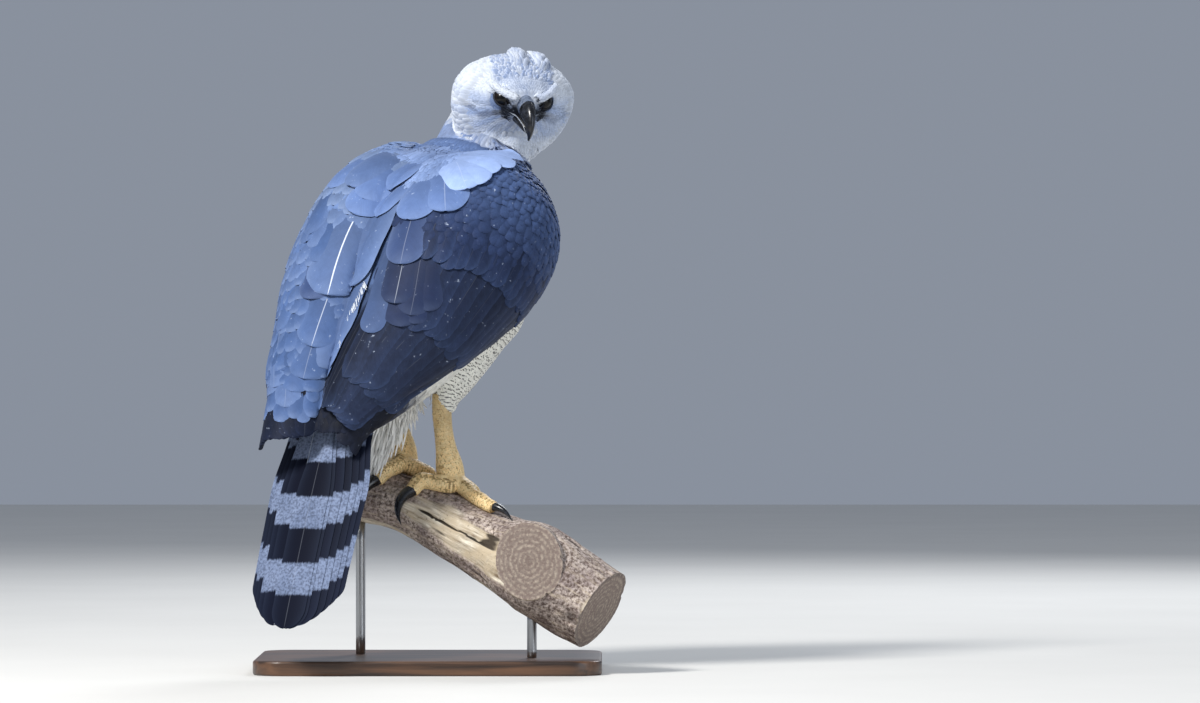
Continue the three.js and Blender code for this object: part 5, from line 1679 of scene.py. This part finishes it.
def plated(coat, line, girth, across, foot, top):
    """Horny plates on a shank or a toe: broad ones in a row along its top or front, small ones beside."""
    form = Form([(place, r, r, r) for place, r in zip(line, girth)], across)
    last = len(line) - 1
    ground = Surface(form.at, (0, last), (-1.1 * PI, 1.1 * PI), WHOLE)
    t, a = rows_of(ground, (0.05, last - 0.12), (2.6, 2.7))
    small = np.ones(len(t), bool)
    _, _, per_t, _ = ground.sample(np.linspace(0, last, 30), np.zeros(30))
    broad = np.arange(0.1, last - 0.15, top / per_t.mean())
    t, a, small = map(np.concatenate, ((t, broad), (a, 0 * broad), (small, np.zeros(len(broad), bool))))
    base = ground.sample(t, a)[0]
    found = [foot.find_nearest(Vector(p)) for p in base]
    apart = np.array([(Vector(p) - hit[0]).dot(hit[1]) for p, hit in zip(base, found)])
    mask = (apart > -3.5) & (~small | (np.abs(a) > 0.62) & (np.abs(a) <= PI))
    t, a, small, base = keep(mask, t, a, small, base)
    # Painted light and shade: the toes are lightened where the foot is lit, the shank darkened where it lies
    # in shade
    shade = mix(1.15, 0.75, ramp(245, 330, base[:, 2]))[:, None]

    def pressed(base, out):
        hits = [foot.find_nearest(Vector(p)) for p in base.reshape(-1, 3)]
        places, normals = (np.array([tuple(hit[k]) for hit in hits]).reshape(base.shape) for k in (0, 1))
        return places, unit(normals + 0.3 * out)

    length = np.where(small, 3.4, top * 1.45) * uneven(0.12, len(t))
    width = np.where(small, 2.9, 1.25 * min(girth)) * uneven(0.1, len(t))
    tint = mix(TINTS["ochre"], TINTS["straw"], 0.7 * rng.random((len(t), 1)))
    coat.grow(
        ground, t, a, length, width, tint * shade * uneven(0.06, (len(t), 1)), grid=(4, 2),
        turn=vary(0.15, len(t)), high=np.where(small, 0.3, 0.8), thick=0.3, settle=pressed,
        camber=np.where(small, 0.05, 0.02)[:, None], round_tip=np.where(small, 1.0, 0.8), root=0.8,
        rim=0, tip=0.22, edge=TINTS["crease"], dark=0, deep=0
    )


for side, name in SIDES:
    line = [bird(f, side * r, u + LIFT[side]) for f, r, u, _ in SHANK]
    girth = [row[3] for row in SHANK]
    plates = scutes(7.0, 118, 0.9)
    shank = lambda u, a: share(girth, u) * (1.0 + 0.05 * np.cos(2 * a)) + plates(u, a)
    parts = [tube(line, 120, 40, shank, -RIGHT)]
    limbs = [(line, girth, -RIGHT, 6.6)]
    ankle = line[4]
    for toe, (rests, (thick, thin), claw) in TOES[side].items():
        heights = [mix(thick, thin, i / 2) - 0.6 for i in range(3)]
        path = [ankle, *(on_branch(*rest, height) for rest, height in zip(rests, heights))]
        lift = on_branch(*rests[1], 40) - on_branch(*rests[1], 0)
        across = -unit(np.cross(path[3] - path[0], lift))
        _, _, length = curve(path, 10)
        plates = scutes(5.6, length, 0.8)

        def girth_of(u, a):
            pads = 0.09 * np.cos(2 * PI * (3 * u - 0.15)) * ramp(0.2, -0.6, np.cos(a))
            end = np.sqrt(np.clip(1 - ramp(0.9, 1.02, u) ** 2 * 0.6, 0.2, 1))
            return (mix(thick, thin, u) * (1 + pads) + plates(u, a)) * end

        parts.append(tube(path, 90, 32, girth_of, across))
        limbs.append((path, np.linspace(thick, thin, 4), across, 5.2))
        reach, bend, radius, lift, aside = (*CLAWS[claw], 0.35, 0.0)[:5]
        ahead = unit(path[3] - path[2])
        out = branch.outward(np.array(float(rests[2][0])), np.array(math.radians(rests[2][1])))
        axis = unit(np.cross(ahead, out))
        places, heading = [path[3] - 4 * ahead], turned(ahead, axis, lift)
        hinge = turned(axis, ahead, -aside)
        for _ in range(5):
            places.append(places[-1] + heading * reach / 5)
            heading = turned(heading, hinge, -bend / 5)
        taper = lambda u, a: radius * np.maximum(0.04, 1 - u**1.5) * (1 - 0.12 * ramp(0.0, -1, np.cos(a)))
        claw = tube(places, 48, 28, taper, axis)
        solid(f"talon_{name}_{toe}", claw, "black_horn", BLACK_HORN, f"claw_{name}_{toe}")
    data = remeshed(f"foot_{name}", *joined(parts), voxel=1.25, rounds=3, factor=0.4)
    piece(f"foot_{name}", data, "leg_skin", LEG_SKIN, f"leg_{name}")
    foot = BVHTree.FromPolygons(places_of(data).tolist(), [tuple(face.vertices) for face in data.polygons])
    coat = Coat()
    for path, sizes, across, top in limbs:
        plated(coat, path, sizes, across, foot, top)
    coat.piece(f"leg_plates_{name}", "leg_skin", PLATE)


# Stand: a dark stained board with a rounded edge, and two brushed rods


def stained_wood():
    """Dark stained board, satin: straight fine grain along its length under a thin clear finish."""
    made, tree = material("dark_stained_board")
    grain = {
        "Vector": stretched(tree, here(tree), (6, 90, 90)), "Scale": 1.0, "Detail": 6, "Distortion": 0.6
    }
    fibre = add(tree, "TexNoise", grain).outputs[0]
    shown = blend(tree, remap(tree, fibre, 0.35, 0.7), "#2b1d14", "#6a4a33")
    bump = bumped(tree, fibre, 0.2, 0.0005)
    return finished(
        made,
        {"Base Color": shown, "Roughness": 0.42, "Coat Weight": 0.25, "Coat Roughness": 0.2, "Normal": bump}
    )


def brushed_steel():
    """Brushed stainless rod: turned lines round it, which spread the highlight along its length."""
    made, tree = material("brushed_steel_rod")
    brush = cloudy(tree, stretched(tree, here(tree), (40, 40, 2600)), 1.0, 3)
    rough = remap(tree, brush, 0.0, 1.0, 0.24, 0.42)
    bump = bumped(tree, brush, 0.1, 0.0002)
    return finished(
        made, {"Base Color": rgba("#a9abad"), "Metallic": 1.0, "Roughness": rough, "Normal": bump}
    )


def board_rings():
    """Rings of a board with round corners and rounded edges, from below to above."""
    half_length, half_width, corner, bevel, height, around = 215, 165, 40.0, 3.0, 18.0, 120
    angle = ring_angles(around)
    quarter = np.sign(np.stack([np.cos(angle + 1e-6), np.sin(angle + 1e-6)], -1))
    centres = quarter * (half_length - corner, half_width - corner)
    rings, turns = [], np.linspace(0, PI / 2, 5)
    edge = [(-60, 0.0), (-3, 0.0)]
    edge += [(bevel * (math.sin(k) - 1), bevel * (1 - math.cos(k))) for k in turns]
    edge += [(bevel * (math.cos(k) - 1), height - bevel * (1 - math.sin(k))) for k in turns]
    edge += [(-30, height)]
    for inset, z in edge:
        flat = centres + np.stack([np.cos(angle), np.sin(angle)], -1) * (corner + inset)
        rings.append(np.concatenate([flat, np.full((around, 1), z)], -1))
    return np.array(rings)


solid("display_board", shell(board_rings()), "stand_wood", stained_wood(), "stand_base")
STEEL, ROD_RADIUS = brushed_steel(), 6.0
for number, x in ((1, -88), (2, 128)):
    low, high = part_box(f"stand_rod_{number}")
    foot = branch_middle(x, 0)
    top = np.array((0, 0, high.z / MM - low.z / MM + 2))
    start = np.array((foot[0], foot[1], low.z / MM))
    rod = tube([start, start + 0.5 * top, start + top], 8, 48, lambda u, _: ROD_RADIUS + 0 * u, FORWARD)
    solid(f"steel_rod_{number}", rod, "stand_steel", STEEL, f"stand_rod_{number}")


# Floor, light and camera


def floor_material():
    """Matt pale paint with the faintest unevenness."""
    made, tree = material("pale_matt_floor")
    shown = blend(tree, cloudy(tree, here(tree), 3.0, 3), "#d9d8d4", "#e2e1dd")
    return finished(made, {"Base Color": shown, "Roughness": 0.9, "Specular IOR Level": 0.2})


width = 9000.0
corners = np.array([(-width, -width, 0), (width, -width, 0), (width, width, 0), (-width, width, 0)])
floor = bpy.data.objects.new("floor", mesh_of("floor", corners, np.array([[0, 1, 2, 3]])))
floor.data.materials.append(floor_material())
bpy.context.scene.collection.objects.link(floor)
floor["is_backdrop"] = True


def lamp(name, place, aim, power, size, tint):
    light = bpy.data.lights.new(name, "AREA")
    light.energy, light.size, light.color = power, size, tint
    obj = bpy.data.objects.new(name, light)
    obj.location = place
    obj.rotation_euler = (Vector(aim) - Vector(place)).to_track_quat("-Z", "Y").to_euler()
    bpy.context.scene.collection.objects.link(obj)


lamp("key", (-2.0, -2.4, 3.2), (0, 0, 0.45), 215, 0.9, (1.0, 0.98, 0.95))
lamp("fill", (3.2, -2.8, 1.0), (0, 0, 0.3), 40, 2.2, (0.88, 0.93, 1.0))
lamp("back", (1.2, 3.2, 2.6), (0, 0, 0.5), 70, 1.4, (0.95, 0.97, 1.0))
world = bpy.context.scene.world or bpy.data.worlds.new("studio")
bpy.context.scene.world = world
world.use_nodes = True
background = world.node_tree.nodes.get("Background") or world.node_tree.nodes.new("ShaderNodeBackground")
background.inputs["Color"].default_value = (0.74, 0.83, 1.0, 1.0)
background.inputs["Strength"].default_value = 0.34

# The photo's camera: level, 8.33 m behind the bird, so that the picture holds 1.25 mm to a pixel at the bird
lens = bpy.data.cameras.new("photo_camera")
lens.lens, lens.sensor_width, lens.clip_end = 200.0, 36.0, 60.0
camera = bpy.data.objects.new("photo_camera", lens)
camera.location = (0.2125, -8.3333, 0.398)
camera.rotation_euler = (PI / 2, 0, 0)
bpy.context.scene.collection.objects.link(camera)
bpy.context.scene.camera = camera
bpy.context.scene.view_settings.view_transform = "Standard"

boxes = {"cad": CAD_BOX, "visual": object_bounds()}
{name: [list(map(float, corner)) for corner in box] for name, box in boxes.items()}
